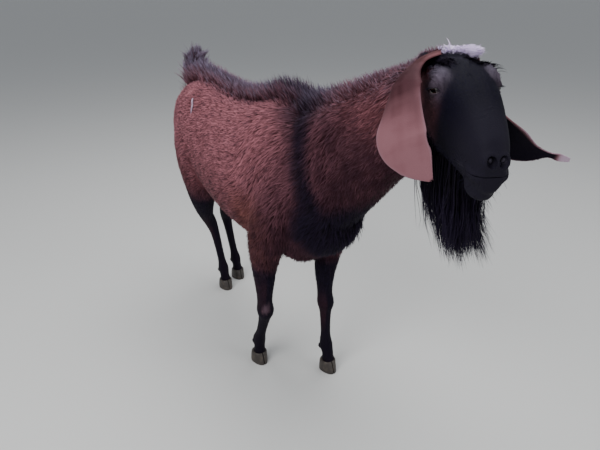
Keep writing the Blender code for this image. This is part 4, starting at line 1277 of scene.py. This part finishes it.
# %% Grow the tail's brush
BRUSH_LOCKS = 64
starts, rises = [], []
for _ in range(BRUSH_LOCKS):
    out, angle, height = math.sqrt(rng.random()), rng.uniform(0, 2 * math.pi), rng.uniform(0.805, 0.900)
    around = Vector((math.cos(angle) * 0.019 * out, math.sin(angle) * 0.023 * out, 0.0))
    starts.append(tuple(Vector((-0.474, -0.034, height)) + around))
    rises.append((around.x * 0.9 + rng.normal(0.004, 0.006), around.y * 0.9 + rng.normal(0.008, 0.006),
                  (0.970 - height) * (1 - 0.45 * out) * rng.uniform(0.72, 1.0)))
starts, rises = np.array(starts), np.array(rises)


def brush_curve(t):
    """Up and a little outward."""
    return rises * np.array((t ** 1.3, t ** 1.3, t))


coat.append(long_hair("coat_tail_brush", starts, brush_curve, hairs=42, spread=0.0050, width=0.0016, rings=6,
                      region="tail", marks=(0.80, 0.0, 1.0)))
print("tail:", len(starts), "locks")

# %% Grow the white tuft of the poll
starts = [HEAD @ Vector((x, y, 0.043 + 0.4 * x)) for x in np.linspace(-0.016, 0.014, 6)
          for y in np.linspace(-0.007, 0.040, 8)]
starts = as_rows(starts)
forward = np.array(HEAD_TURN @ Vector((0.017, 0.0, 0.009)))
upward = np.array(HEAD_TURN @ Vector((0.0, 0.0, 0.010)))
fan = (in_head(starts)[:, 1:2] - 0.015) * np.array(HEAD_TURN @ Vector((0.0, 0.6, 0.0)))


def poll_curve(t):
    """Up out of the poll, then forward over the brow."""
    return upward * min(1.0, 2 * t) + forward * t + fan * t + np.zeros((len(starts), 3))


coat.append(long_hair("coat_poll", starts, poll_curve, hairs=60, spread=0.0042, width=0.0014, rings=5,
                      region="head", marks=(0.15, 1.0, 0.0), gather=0.7, wave=0.0012))
print("poll:", len(starts), "locks")

# %% Grow the dark hair beside the poll
FORELOCK_HAIRS = 2400
FORELOCK_MARKS = (0.98, 0.010, 0.0)


def forelock_density(points):
    """Only between the poll and the brows."""
    own = in_head(points)
    beside = hump(own[:, 0], 0.056, 0.026) * hump(np.abs(own[:, 1]), 0.034, 0.018)
    return beside * ramp(own[:, 2], 0.030, 0.050) * head_share(points) + 1e-9


starts, outward = scatter(skin, FORELOCK_HAIRS, forelock_density)
ahead = np.tile(np.array(HEAD_TURN @ Vector((0.90, 0.0, 0.10))), (FORELOCK_HAIRS, 1))
paths, across = curved(starts, outward, ahead, rng.uniform(0.007, 0.014, FORELOCK_HAIRS),
                       rng.uniform(0.18, 0.50, FORELOCK_HAIRS))
coat.append(blades("coat_forelock", paths, across, rng.uniform(0.0009, 0.0016, FORELOCK_HAIRS),
                   on_unwrap(starts, "head"), FORELOCK_MARKS, NO_TONES))
print("forelock:", FORELOCK_HAIRS, "blades")

# %% [markdown]
# ## Lashes, brow hair and whiskers
# Single stiff hairs grow from the lids, the brows and round the lips. Each one
# is a very thin blade. Lashes start on the edge of the lids' opening, and the
# others on the nearest point of the skin.

# %% Helpers: the edge of the lids and single hairs
LID_EDGE = 0.0010
BRISTLE_MARKS = (1.0, 0.0, 0.0)


def on_lid_edge(side, angle):
    """A place on the edge of an eye's opening, in the eye's own frame."""
    flat = lid_tilt(side) @ Vector((0.0, LID_LENGTH * math.cos(angle), LID_HEIGHT * math.sin(angle)))
    return Vector((math.sqrt((EYE_RADIUS + LID_EDGE) ** 2 - flat.y ** 2 - flat.z ** 2), flat.y, flat.z))


def bristles(name, starts, ways, droop, lengths, width):
    """Single hairs: each leaves its start along its way and droops."""
    share = np.linspace(0, 1, 6)[None, :, None]
    paths = starts[:, None] + (ways[:, None] * share + droop * share ** 2) * lengths[:, None, None]
    across = unit(np.cross(ways, rng.normal(0, 1, ways.shape)))
    widths = np.full(len(starts), width)
    return blades(name, paths, across, widths, on_unwrap(starts, "head"), BRISTLE_MARKS, NO_TONES)


# %% Grow lashes, brow hair and whiskers
LASHES, BROW_HAIRS, WHISKERS = 30, 16, 110
lash_starts, lash_ways, brow_places, brow_ways = [], [], [], []
for side in (-1, 1):
    for angle in np.radians(np.linspace(15, 165, LASHES)):
        lash_starts.append(HEAD @ (eye_centre(side) + eye_turn(side) @ on_lid_edge(side, angle)))
        lash_ways.append(HEAD_TURN @ eye_turn(side) @ Vector((0.8, 0.5 * math.cos(angle), 0.35)))
    for _ in range(BROW_HAIRS):
        x, out, z = rng.normal(0.086, 0.010), rng.normal(0.054, 0.004), rng.normal(0.070, 0.004)
        brow_places.append((x, side * out, z))
        brow_ways.append(HEAD_TURN @ Vector((0.45, side * 0.70, 0.55)))
droop = np.array(HEAD_TURN @ Vector((0.15, 0.0, -0.45)))
coat.append(bristles("coat_lashes", as_rows(lash_starts), unit(as_rows(lash_ways)), droop,
                     rng.uniform(0.007, 0.011, len(lash_starts)), 0.0006))
brow_starts, _ = on_skin([HEAD @ Vector(place) for place in brow_places])
coat.append(bristles("coat_brow_hair", brow_starts, unit(as_rows(brow_ways)), droop * 0.9,
                     rng.uniform(0.012, 0.026, len(brow_starts)), 0.0008))
whisker_places = [(rng.uniform(0.235, 0.300), rng.uniform(-0.034, 0.034), rng.uniform(-0.065, 0.004))
                  for _ in range(WHISKERS)]
whisker_starts, outward = on_skin([HEAD @ Vector(place) for place in whisker_places])
coat.append(bristles("coat_whiskers", whisker_starts, unit(outward + np.array((0.1, -0.05, -0.25))),
                     np.array((0.0, 0.0, -0.25)), rng.uniform(0.006, 0.016, len(outward)), 0.0004))
print("lashes:", len(lash_starts), "brow hairs:", len(brow_starts), "whiskers:", len(whisker_starts))

# %% [markdown]
# ## Hair of the ears
# Ear hair is short and smooth. The outer side is red at its root and tan below.
# The far ear shows its inner side, which is almost black with a pale rim and tip.

# %% Markings of the ears
INSIDE_BLACK = ((0.0, 0.30), (0.30, 0.30), (0.45, 0.8))


def far_ear(share, across, outer, black, pale):
    """Black near its root and inside, with a pale rim and tip."""
    rim = ramp(across, 0.70, 0.92) + 0.4 * ramp(-across, 0.86, 0.98)
    inside = (1 - outer) * (1 - 0.8 * rim) * (1 - ramp(share, 0.79, 0.87)) * 0.99
    black = np.max([inside, black, 0.95 * (1 - ramp(share, 0.08, 0.20))], axis=0)
    return black, np.maximum(3.0 * pale, 0.36 * ramp(share, 0.82, 0.90))


def ear_marks(side, places, points):
    """Markings of an ear from places on it."""
    share, across, outer = places[:, 0], places[:, 1], places[:, 2]
    out = np.abs(across)
    rim = ramp(out, 0.70, 0.92)
    red = 1 - (ramp(share, 0.30, 0.64) if side == "right" else ramp(share, 0.10, 0.30))
    root = 1 - ramp(share, 0.06, 0.26)
    # Black on the red strap below the root is painted shade over the strap's own red-brown.
    black = 0.36 * red * ramp(share, 0.12, 0.26)
    pale = 0.06 * ramp(out, 0.86, 0.97) * ramp(share, 0.35, 0.5)
    if side == "left":
        black, pale = far_ear(share, across, outer, black, pale)
    else:
        black = np.maximum((1 - outer) * (1 - 0.6 * rim) * column(INSIDE_BLACK, share), black)
    patches = ramp(mottle(points * 0.8) + 0.5 * mottle(points * 2.1), -0.4, 0.9)
    tan = np.clip(1 - 0.85 * red - 0.30 * patches + 0.25 * rim, 0, 1)
    dark_edge = ramp(out, 0.2, 0.8) * (1 - rim) * (1 - ramp(share, 0.3, 0.7)) * 0.25
    # Darker stripes down the ear, fading towards its tip, are painted shade of its folds.
    folds = 0.14 * (0.5 + 0.5 * np.sin(across * 17 + 1.0)) * (1 - share)
    # The shade channel: the strap's own darker red-brown, painted shade of strap and folds, uneven patches
    # and a paler rim.
    shade = np.clip(red * (1 - 0.45 * root) + dark_edge + folds + 0.20 * patches - 0.20 * rim, 0, 1)
    marks = np.stack([black, pale * (1 - black), np.zeros(len(points))], axis=1)
    return marks, np.stack([tan, (0.3 + 0.6 * root) * red, shade], axis=1)


# %% Grow the ears' hair
EAR_COUNT = 14000
AXES.update({f"{side}_ear": [row[:3] for row in rows] for side, rows in EARS.items()})
TILES.update({"right_ear": (0.80, 0.85, 0.20, 0.15), "left_ear": (0.90, 0.75, 0.10, 0.10)})


def everywhere(points):
    """The same density all over an ear."""
    return np.ones(len(points))


for side, ear in ears.items():
    roots, normals, places = scatter(ear, EAR_COUNT, everywhere, on_ears[side])
    marks, tones = ear_marks(side, places, roots)
    near_rim, near_tip = ramp(np.abs(places[:, 1]), 0.72, 0.95), ramp(places[:, 0], 0.80, 0.95)
    lengths = rng.uniform(0.004, 0.008, len(roots)) * (1 - 0.62 * near_rim) * (1 - 0.4 * near_tip)
    lift = 0.03 + 0.05 * rng.random(len(roots))
    paths, across = curved(roots, normals, unit(places[:, 3:6]), lengths, lift)
    spots = on_unwrap(roots, f"{side}_ear")
    widths = rng.uniform(0.0008, 0.0014, len(roots))
    coat.append(blades(f"coat_{side}_ear", paths, across, widths, spots, marks, tones))
    print(side, "ear:", len(roots), "tufts")

# %% [markdown]
# ## One skin with its markings
# The ears join the skin, so that no seam shows, and the skin takes the same
# markings as the coat above it.

# %% Join the ears and paint the skin
# The skin reads as a quarter of the way up a hair, nearer its dark root: painted shade between the tufts.
SKIN_STRAND = np.array((0.5, 0.25, 0.5))
ON_EAR = 0.0002
ear_meshes, near_ear = [], {}
for side, ear in ears.items():
    bm = bmesh.new()
    bm.from_mesh(ear.data)
    ear_meshes.append(bm)
    tree = KDTree(len(ear.data.vertices))
    for index, vert in enumerate(ear.data.vertices):
        tree.insert(vert.co, index)
    tree.balance()
    near_ear[side] = tree
combine(skin, ear_meshes, "UNION")
points, triangles, normals = arrays(skin)
marks, tones = markings(points)
for side, tree in near_ear.items():
    found = [tree.find(Vector(point)) for point in points]
    on_ear = np.array([away < ON_EAR for _, _, away in found])
    places = on_ears[side][[index for _, index, _ in found]]
    ear_mark, ear_tone = ear_marks(side, places, points)
    marks[on_ear], tones[on_ear] = ear_mark[on_ear], ear_tone[on_ear]
    print(side, "ear:", int(on_ear.sum()), "points of the skin")
for ear in ears.values():
    bpy.data.objects.remove(ear, do_unlink=True)
paint(skin.data, "markings", marks)
paint(skin.data, "tones", tones)
paint(skin.data, "strand", np.tile(SKIN_STRAND, (len(points), 1)))
skin.data.transform(Matrix.Translation(SHIFT))
skin.data.shade_smooth()
print("skin with ears:", len(skin.data.polygons), "faces")

# %% [markdown]
# ## Eyes
# A goat's pupil is a level slit. The eyeball is a smooth ball with a slight
# cornea, and a dark wet rim of lid skin frames the opening.

# %% Model the eyes and their rims
CORNEA_START, CORNEA_HEIGHT = 0.80, 0.0005
RIM_RINGS, RIM_SIDES = 40, 8


def eye_place(side):
    """The place of an eye, which looks along its own +X."""
    return HEAD @ Matrix.Translation(eye_centre(side)) @ eye_turn(side).to_4x4()


def eyeball(side):
    """A ball with a raised cornea."""
    bm = bmesh.new()
    bmesh.ops.create_uvsphere(bm, u_segments=48, v_segments=32, radius=EYE_RADIUS)
    for vert in bm.verts:
        front = vert.co.x / EYE_RADIUS
        if front > CORNEA_START:
            vert.co.x += CORNEA_HEIGHT * (front - CORNEA_START) / (1 - CORNEA_START)
    bm.transform(eye_place(side))
    return bm


def lid_rim(side, name):
    """A soft ring round the almond opening, with its lower side marked for a painted highlight."""
    bm = bmesh.new()
    rings, lower = [], []
    for angle in np.arange(RIM_RINGS) * 2 * math.pi / RIM_RINGS:
        middle = on_lid_edge(side, angle)
        outward, away = middle.normalized(), Vector((0.0, middle.y, middle.z)).normalized()
        lower.append(max(0.0, -math.sin(angle)))

        def place(c, s, middle=middle, outward=outward, away=away):
            return middle + outward * 0.0011 * s + away * 0.0012 * c
        rings.append(ring(bm, RIM_SIDES, place))
    for one, two in zip(rings, rings[1:] + rings[:1]):
        bmesh.ops.bridge_loops(bm, edges=one + two)
    bmesh.ops.recalc_face_normals(bm, faces=bm.faces)
    bm.transform(eye_place(side))
    rim = new_object(name, bm)
    paint(rim.data, "lower lid highlight", np.repeat(np.array(lower)[:, None], RIM_SIDES, axis=0) * np.ones(3))
    return rim


eyes, rims = {}, []
for side, name in ((-1, "right"), (1, "left")):
    eyes[name] = new_object(f"{name}_eyeball", eyeball(side))
    rims.append(lid_rim(side, f"{name}_lid_rim"))
    print(name, "eye:", len(eyes[name].data.polygons), "faces")

# %% [markdown]
# ## Hooves
# A hoof is two claws with flat soles. Level rings give the wall, a cleft parts
# the claws, and a small bevel softens their edges.

# %% Model the hooves: height, shift ahead, half length, half width and taper to the toe
HOOF_POWER = 2.4
CLEFT_WIDTH = 0.0030
HOOF = (
    (0.000, 0.006, 0.0290, 0.0230, 0.28),
    (0.0015, 0.006, 0.0300, 0.0240, 0.28),
    (0.012, 0.005, 0.0300, 0.0245, 0.26),
    (0.028, 0.002, 0.0270, 0.0240, 0.15),
    (0.037, 0.000, 0.0245, 0.0235, 0.02),
    (0.0395, 0.000, 0.0225, 0.0215, 0.00),
)


def hoof_shape(x, y):
    """A hoof whose rings are level, narrower at the toe."""
    bm = bmesh.new()
    rings = []
    for row in smooth_rows(HOOF, 2):
        def place(c, s, row=row):
            height, ahead, half_length, half_width, taper = row
            along = rounded(c, HOOF_POWER)
            across = rounded(s, HOOF_POWER) * (1 - taper * along)
            return Vector((x + ahead + half_length * along, y + half_width * across, max(0.0, height)))
        rings.append(ring(bm, 40, place))
    return bridged(bm, rings)


def cleft(x, y, length):
    """A narrow block that parts the claws."""
    bm = bmesh.new()
    bmesh.ops.create_cube(bm, size=1.0)
    bm.transform(Matrix.Translation((x, y, 0.0)) @ Matrix.Diagonal((length, CLEFT_WIDTH, 0.2, 1.0)))
    return bm


hooves = {}
for name, (x, y) in (("right_fore", RIGHT_FORE_PLACE), ("left_fore", LEFT_FORE_PLACE),
                     ("right_hind", RIGHT_HIND_PLACE), ("left_hind", LEFT_HIND_PLACE)):
    hoof = new_object(f"{name}_hoof_horn", hoof_shape(x, y))
    combine(hoof, [cleft(x + 0.032, y, 0.050), cleft(x - 0.034, y, 0.040)], "DIFFERENCE")
    soften = hoof.modifiers.new("soften", "BEVEL")
    soften.width = 0.0008
    soften.segments = 2
    soften.limit_method = "ANGLE"
    bake(hoof)
    hooves[name] = hoof
    print(name, "hoof:", len(hoof.data.polygons), "faces")
for obj in list(hooves.values()) + list(eyes.values()) + rims:
    obj.data.transform(Matrix.Translation(SHIFT))
    obj.data.shade_smooth()
    obj.data.set_sharp_from_angle(angle=math.radians(45))

# %% [markdown]
# ## Materials
# Shader maths reads best as plain expressions. This class wraps a socket, and
# its operators add the Math nodes.

# %% A socket that Python's operators can use
class Socket:
    """An output of a shader tree."""

    def __init__(self, tree, out=None):
        self.tree = tree
        self.out = out

    def node(self, kind, settings=None, inputs=None, output=0):
        """Add a node: its settings first, then the values or links of its inputs."""
        made = self.tree.nodes.new(kind)
        for name, value in (settings or {}).items():
            setattr(made, name, value)
        for name, value in (inputs or {}).items():
            if isinstance(value, Socket):
                self.tree.links.new(value.out, made.inputs[name])
            else:
                made.inputs[name].default_value = value
        return Socket(self.tree, made.outputs[output])

    def maths(self, operation, *values):
        """A Math node on values or sockets."""
        return self.node("ShaderNodeMath", {"operation": operation}, dict(enumerate(values)))

    def __add__(self, other):
        return self.maths("ADD", self, other)

    def __mul__(self, other):
        return self.maths("MULTIPLY", self, other)

    def __sub__(self, other):
        return self.maths("SUBTRACT", self, other)

    def __rsub__(self, other):
        return self.maths("SUBTRACT", other, self)

    def __pow__(self, other):
        return self.maths("POWER", self, other)

    def __abs__(self):
        return self.maths("ABSOLUTE", self)

    __radd__ = __add__
    __rmul__ = __mul__

    def mix(self, one, two):
        """One colour where this is 0, the other where it is 1."""
        return self.node("ShaderNodeMix", {"data_type": "RGBA"}, {0: self, 6: one, 7: two}, output=2)

    def step(self, start, end):
        """0 before start and 1 after end."""
        return self.node("ShaderNodeMapRange", {"interpolation_type": "SMOOTHSTEP"},
                         {"Value": self, "From Min": start, "From Max": end})

    def noise(self, scale, detail):
        """Noise over this vector."""
        return self.node("ShaderNodeTexNoise", {}, {"Vector": self, "Scale": scale, "Detail": detail})

    def bump(self, strength, height):
        """A normal with this as the surface's relief."""
        return self.node("ShaderNodeBump", {}, {"Height": self, "Strength": strength, "Distance": height})

    def feed(self, shader, name):
        """Link this to an input of the shader."""
        self.tree.links.new(self.out, shader.inputs[name])

    def channels(self):
        """Red, green and blue as three sockets."""
        split = self.node("ShaderNodeSeparateColor", {}, {"Color": self})
        return [Socket(self.tree, split.out.node.outputs[index]) for index in range(3)]


# %% Helpers: object coordinates, stored colours, tints and a new material
def object_place(start):
    """Object coordinates."""
    return start.node("ShaderNodeTexCoord", output=3)


def attribute(start, name):
    """A stored colour of the mesh, as its three channels."""
    return start.node("ShaderNodeAttribute", {"attribute_name": name}).channels()


def tint(red, green, blue):
    """A colour given as on a screen, made linear."""
    linear = [value / 255 / 12.92 if value <= 10 else ((value / 255 + 0.055) / 1.055) ** 2.4
              for value in (red, green, blue)]
    return (*linear, 1.0)


def new_material(name, roughness, specular=0.5):
    """A material, its shader and a start for its nodes."""
    material = bpy.data.materials.new(name)
    material.use_nodes = True
    shader = material.node_tree.nodes["Principled BSDF"]
    shader.inputs["Roughness"].default_value = roughness
    shader.inputs["Metallic"].default_value = 0.0
    shader.inputs["Specular IOR Level"].default_value = specular
    return material, shader, Socket(material.node_tree)


# %% [markdown]
# ## Coat and skin colours
# Hair is darker at its root and lighter at its tip, and no two tufts are alike.
# The skin uses the same colours, read near the hair's dark root, so gaps between tufts are darker: painted
# shade between the tufts.

# %% Coat and skin materials
MAHOGANY_ROOT, MAHOGANY_TIP = tint(54, 25, 29), tint(178, 115, 124)
WARM_TIP = tint(168, 104, 84)
# Black hair's tips are lighter and bluish: partly the hair's own lighter tips, partly a painted bluish sheen
# from the sky.
BLACK_ROOT, BLACK_TIP_AND_SHEEN = tint(6, 5, 9), tint(28, 25, 46)
GREY_TIP, WHITE = tint(164, 154, 182), tint(228, 214, 242)
TAN_ROOT, TAN_TIP = tint(112, 74, 80), tint(166, 120, 128)


def coat_colour(start):
    """The colour of hair from the stored markings."""
    black, white, grey = attribute(start, "markings")
    tan, warm, shade = attribute(start, "tones")
    chance, along, other = attribute(start, "strand")
    light = (along * 0.65 + chance * 0.45).step(0.05, 1.0)
    hair = light.mix(MAHOGANY_ROOT, MAHOGANY_TIP)
    hair = (warm * along * 0.8).mix(hair, WARM_TIP)
    # Painted shade: the shade channel darkens the hair towards its root colour.
    hair = (shade * 0.85).mix(hair, MAHOGANY_ROOT)
    hair = tan.mix(hair, light.mix(TAN_ROOT, TAN_TIP))
    hair = black.mix(hair, (light * 0.8).mix(BLACK_ROOT, BLACK_TIP_AND_SHEEN))
    hair = (grey * along.step(0.35, 1.0) * other).mix(hair, GREY_TIP)
    return white.mix(hair, WHITE)


HAIR_SPECULAR = 0.05
coat_material, shader, start = new_material("goat hair", 0.55, HAIR_SPECULAR)
coat_colour(start).feed(shader, "Base Color")

skin_material, shader, start = new_material("skin under the coat", 0.60, HAIR_SPECULAR)
coat_colour(start).feed(shader, "Base Color")
object_place(start).noise(420.0, 3.0).bump(0.5, 0.0012).feed(shader, "Normal")
print("materials for coat and skin made")

# %% [markdown]
# ## Eye, lid and hoof materials
# The iris is dark brown round a level black slit, darker than a live goat's: painted shade, as the eye lies
# in shade. The pattern is worked out in the eye's own frame, which three dot products give from object
# coordinates.

# %% Eye materials
PUPIL_LENGTH, PUPIL_HEIGHT, PUPIL_POWER = 0.0062, 0.0024, 2.6
IRIS_RADII = (0.0086, 0.0106)


def in_eye(place, side):
    """Object coordinates in an eye's own frame: across the opening and up."""
    eye_frame = Matrix.Translation(eye_centre(side)) @ (eye_turn(side) @ lid_tilt(side)).to_4x4()
    whole = (Matrix.Translation(SHIFT) @ HEAD @ eye_frame).inverted()
    return [place.node("ShaderNodeVectorMath", {"operation": "DOT_PRODUCT"},
                       {0: place, 1: tuple(whole[row][:3])}, output=1) + whole[row][3] for row in (1, 2)]


def eye_material(name, side):
    """Dark brown iris, darkened as painted shade, black level pupil and a brown rim."""
    material, shader, start = new_material(name, 0.06)
    shader.inputs["Coat Weight"].default_value = 0.6
    shader.inputs["Coat Roughness"].default_value = 0.03
    place = object_place(start)
    across, up = in_eye(place, side)
    slit = abs(across * (1 / PUPIL_LENGTH)) ** PUPIL_POWER + abs(up * (1 / PUPIL_HEIGHT)) ** PUPIL_POWER
    pupil = 1 - slit.step(0.75, 1.15)
    radius = start.maths("SQRT", across * across + up * up)
    # The iris colours are painted shade: darker than a live goat's iris, as the eye lies in shade.
    iris = place.noise(900.0, 4.0).mix(tint(24, 16, 14), tint(50, 35, 26))
    iris = radius.step(0.0030, 0.0095).mix(iris, tint(24, 17, 16))
    iris = radius.step(*IRIS_RADII).mix(iris, tint(38, 26, 22))
    pupil.mix(iris, tint(5, 4, 6)).feed(shader, "Base Color")
    return material


for side, name in ((-1, "right"), (1, "left")):
    eyes[name].data.materials.append(eye_material(f"{name} eye", side))
print("materials for both eyes made")

# %% Lid material
rim_material, shader, start = new_material("lid skin", 0.35)
lower = attribute(start, "lower lid highlight")[0]
lid = object_place(start).noise(1400.0, 2.0).mix(tint(14, 10, 12), tint(46, 36, 38))
# The lower side of the rim is lighter: a painted highlight along the wet lower lid.
(lower * 0.45).mix(lid, tint(112, 92, 104)).feed(shader, "Base Color")
for rim in rims:
    rim.data.materials.append(rim_material)
print("material for the lids' rims made")

# %% Hoof material
horn, shader, start = new_material("hoof horn", 0.5)
place = object_place(start)
level = start.node("ShaderNodeMapping", {}, {"Vector": place, "Scale": (30.0, 30.0, 420.0)})
growth = level.noise(1.0, 3.0)
colour = growth.mix(tint(28, 24, 23), tint(62, 54, 50))
(place.noise(70.0, 4.0).step(0.45, 0.75) * 0.4).mix(colour, tint(98, 86, 74)).feed(shader, "Base Color")
growth.bump(0.4, 0.0008).feed(shader, "Normal")
for hoof in hooves.values():
    hoof.data.materials.append(horn)
print("material for the hooves made")

# %% [markdown]
# ## Put the pieces in the frame
# The skin stands for every node of flesh. Coat pieces ride with it, and eyes and
# hooves stand for their own nodes.

# %% Ride and replace
skin.data.materials.append(skin_material)
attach(skin, "root")
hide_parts("torso", "neck", "head", "tail", "right_ear", "left_ear",
            "right_foreleg", "left_foreleg", "right_hindleg", "left_hindleg")
for piece in coat:
    piece.data.materials.append(coat_material)
    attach(piece, "root")
for name, eye in eyes.items():
    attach(eye, "root")
    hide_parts(f"{name}_eye")
for rim in rims:
    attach(rim, "root")
for name, hoof in hooves.items():
    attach(hoof, "root")
    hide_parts(f"{name}_hoof")
sizes = [len(piece.data.polygons) for piece in coat]
print("coat:", len(coat), "pieces,", sum(sizes), "triangles; largest", max(sizes))

# %% [markdown]
# ## Floor, light and camera
# A pale floor and three soft lights leave the coat's own colours to be seen. The
# camera stands where the picture was taken from.

# %% Floor
bm = bmesh.new()
bmesh.ops.create_grid(bm, x_segments=1, y_segments=1, size=60.0)
floor = new_object("floor", bm)
floor_material, shader, start = new_material("pale floor", 0.8)
shader.inputs["Base Color"].default_value = tint(206, 206, 204)
floor.data.materials.append(floor_material)
print("floor made")

# %% Lights
def soft_light(name, place, target, size, watts):
    """A square light that looks at a point."""
    data = bpy.data.lights.new(name, "AREA")
    data.size = size
    data.energy = watts
    obj = bpy.data.objects.new(name, data)
    obj.location = place
    obj.rotation_euler = (Vector(target) - Vector(place)).to_track_quat("-Z", "Y").to_euler()
    bpy.context.scene.collection.objects.link(obj)


soft_light("key", (1.2, -2.6, 2.6), (0.1, 0.0, 0.6), 2.0, 90.0)
soft_light("fill", (2.8, 1.8, 1.8), (0.2, 0.0, 0.6), 2.2, 35.0)
soft_light("top", (-0.6, 0.4, 3.4), (0.0, 0.0, 0.5), 2.6, 75.0)
world = bpy.data.worlds.new("studio")
world.use_nodes = True
background = world.node_tree.nodes["Background"]
background.inputs["Color"].default_value = (0.80, 0.84, 0.90, 1.0)
background.inputs["Strength"].default_value = 0.45
bpy.context.scene.world = world
print("lights:", ", ".join(light.name for light in bpy.data.lights))

# %% Camera
CAMERA_PLACE = Vector((1.50, -0.77, 1.19))
CAMERA_YAW, CAMERA_PITCH = math.radians(149.3), math.radians(24.1)
FOCAL_PIXELS, PICTURE_PIXELS = 570.0, 600.0
SENSOR_WIDTH = 36.0
data = bpy.data.cameras.new("camera")
data.sensor_width = SENSOR_WIDTH
data.lens = FOCAL_PIXELS / PICTURE_PIXELS * SENSOR_WIDTH
camera = bpy.data.objects.new("camera", data)
level = math.cos(CAMERA_PITCH)
forward = Vector((math.cos(CAMERA_YAW) * level, math.sin(CAMERA_YAW) * level, -math.sin(CAMERA_PITCH)))
camera.rotation_euler = forward.to_track_quat("-Z", "Y").to_euler()
camera.location = CAMERA_PLACE + SHIFT
bpy.context.scene.collection.objects.link(camera)
bpy.context.scene.camera = camera
print("camera at", tuple(round(value, 3) for value in camera.location))
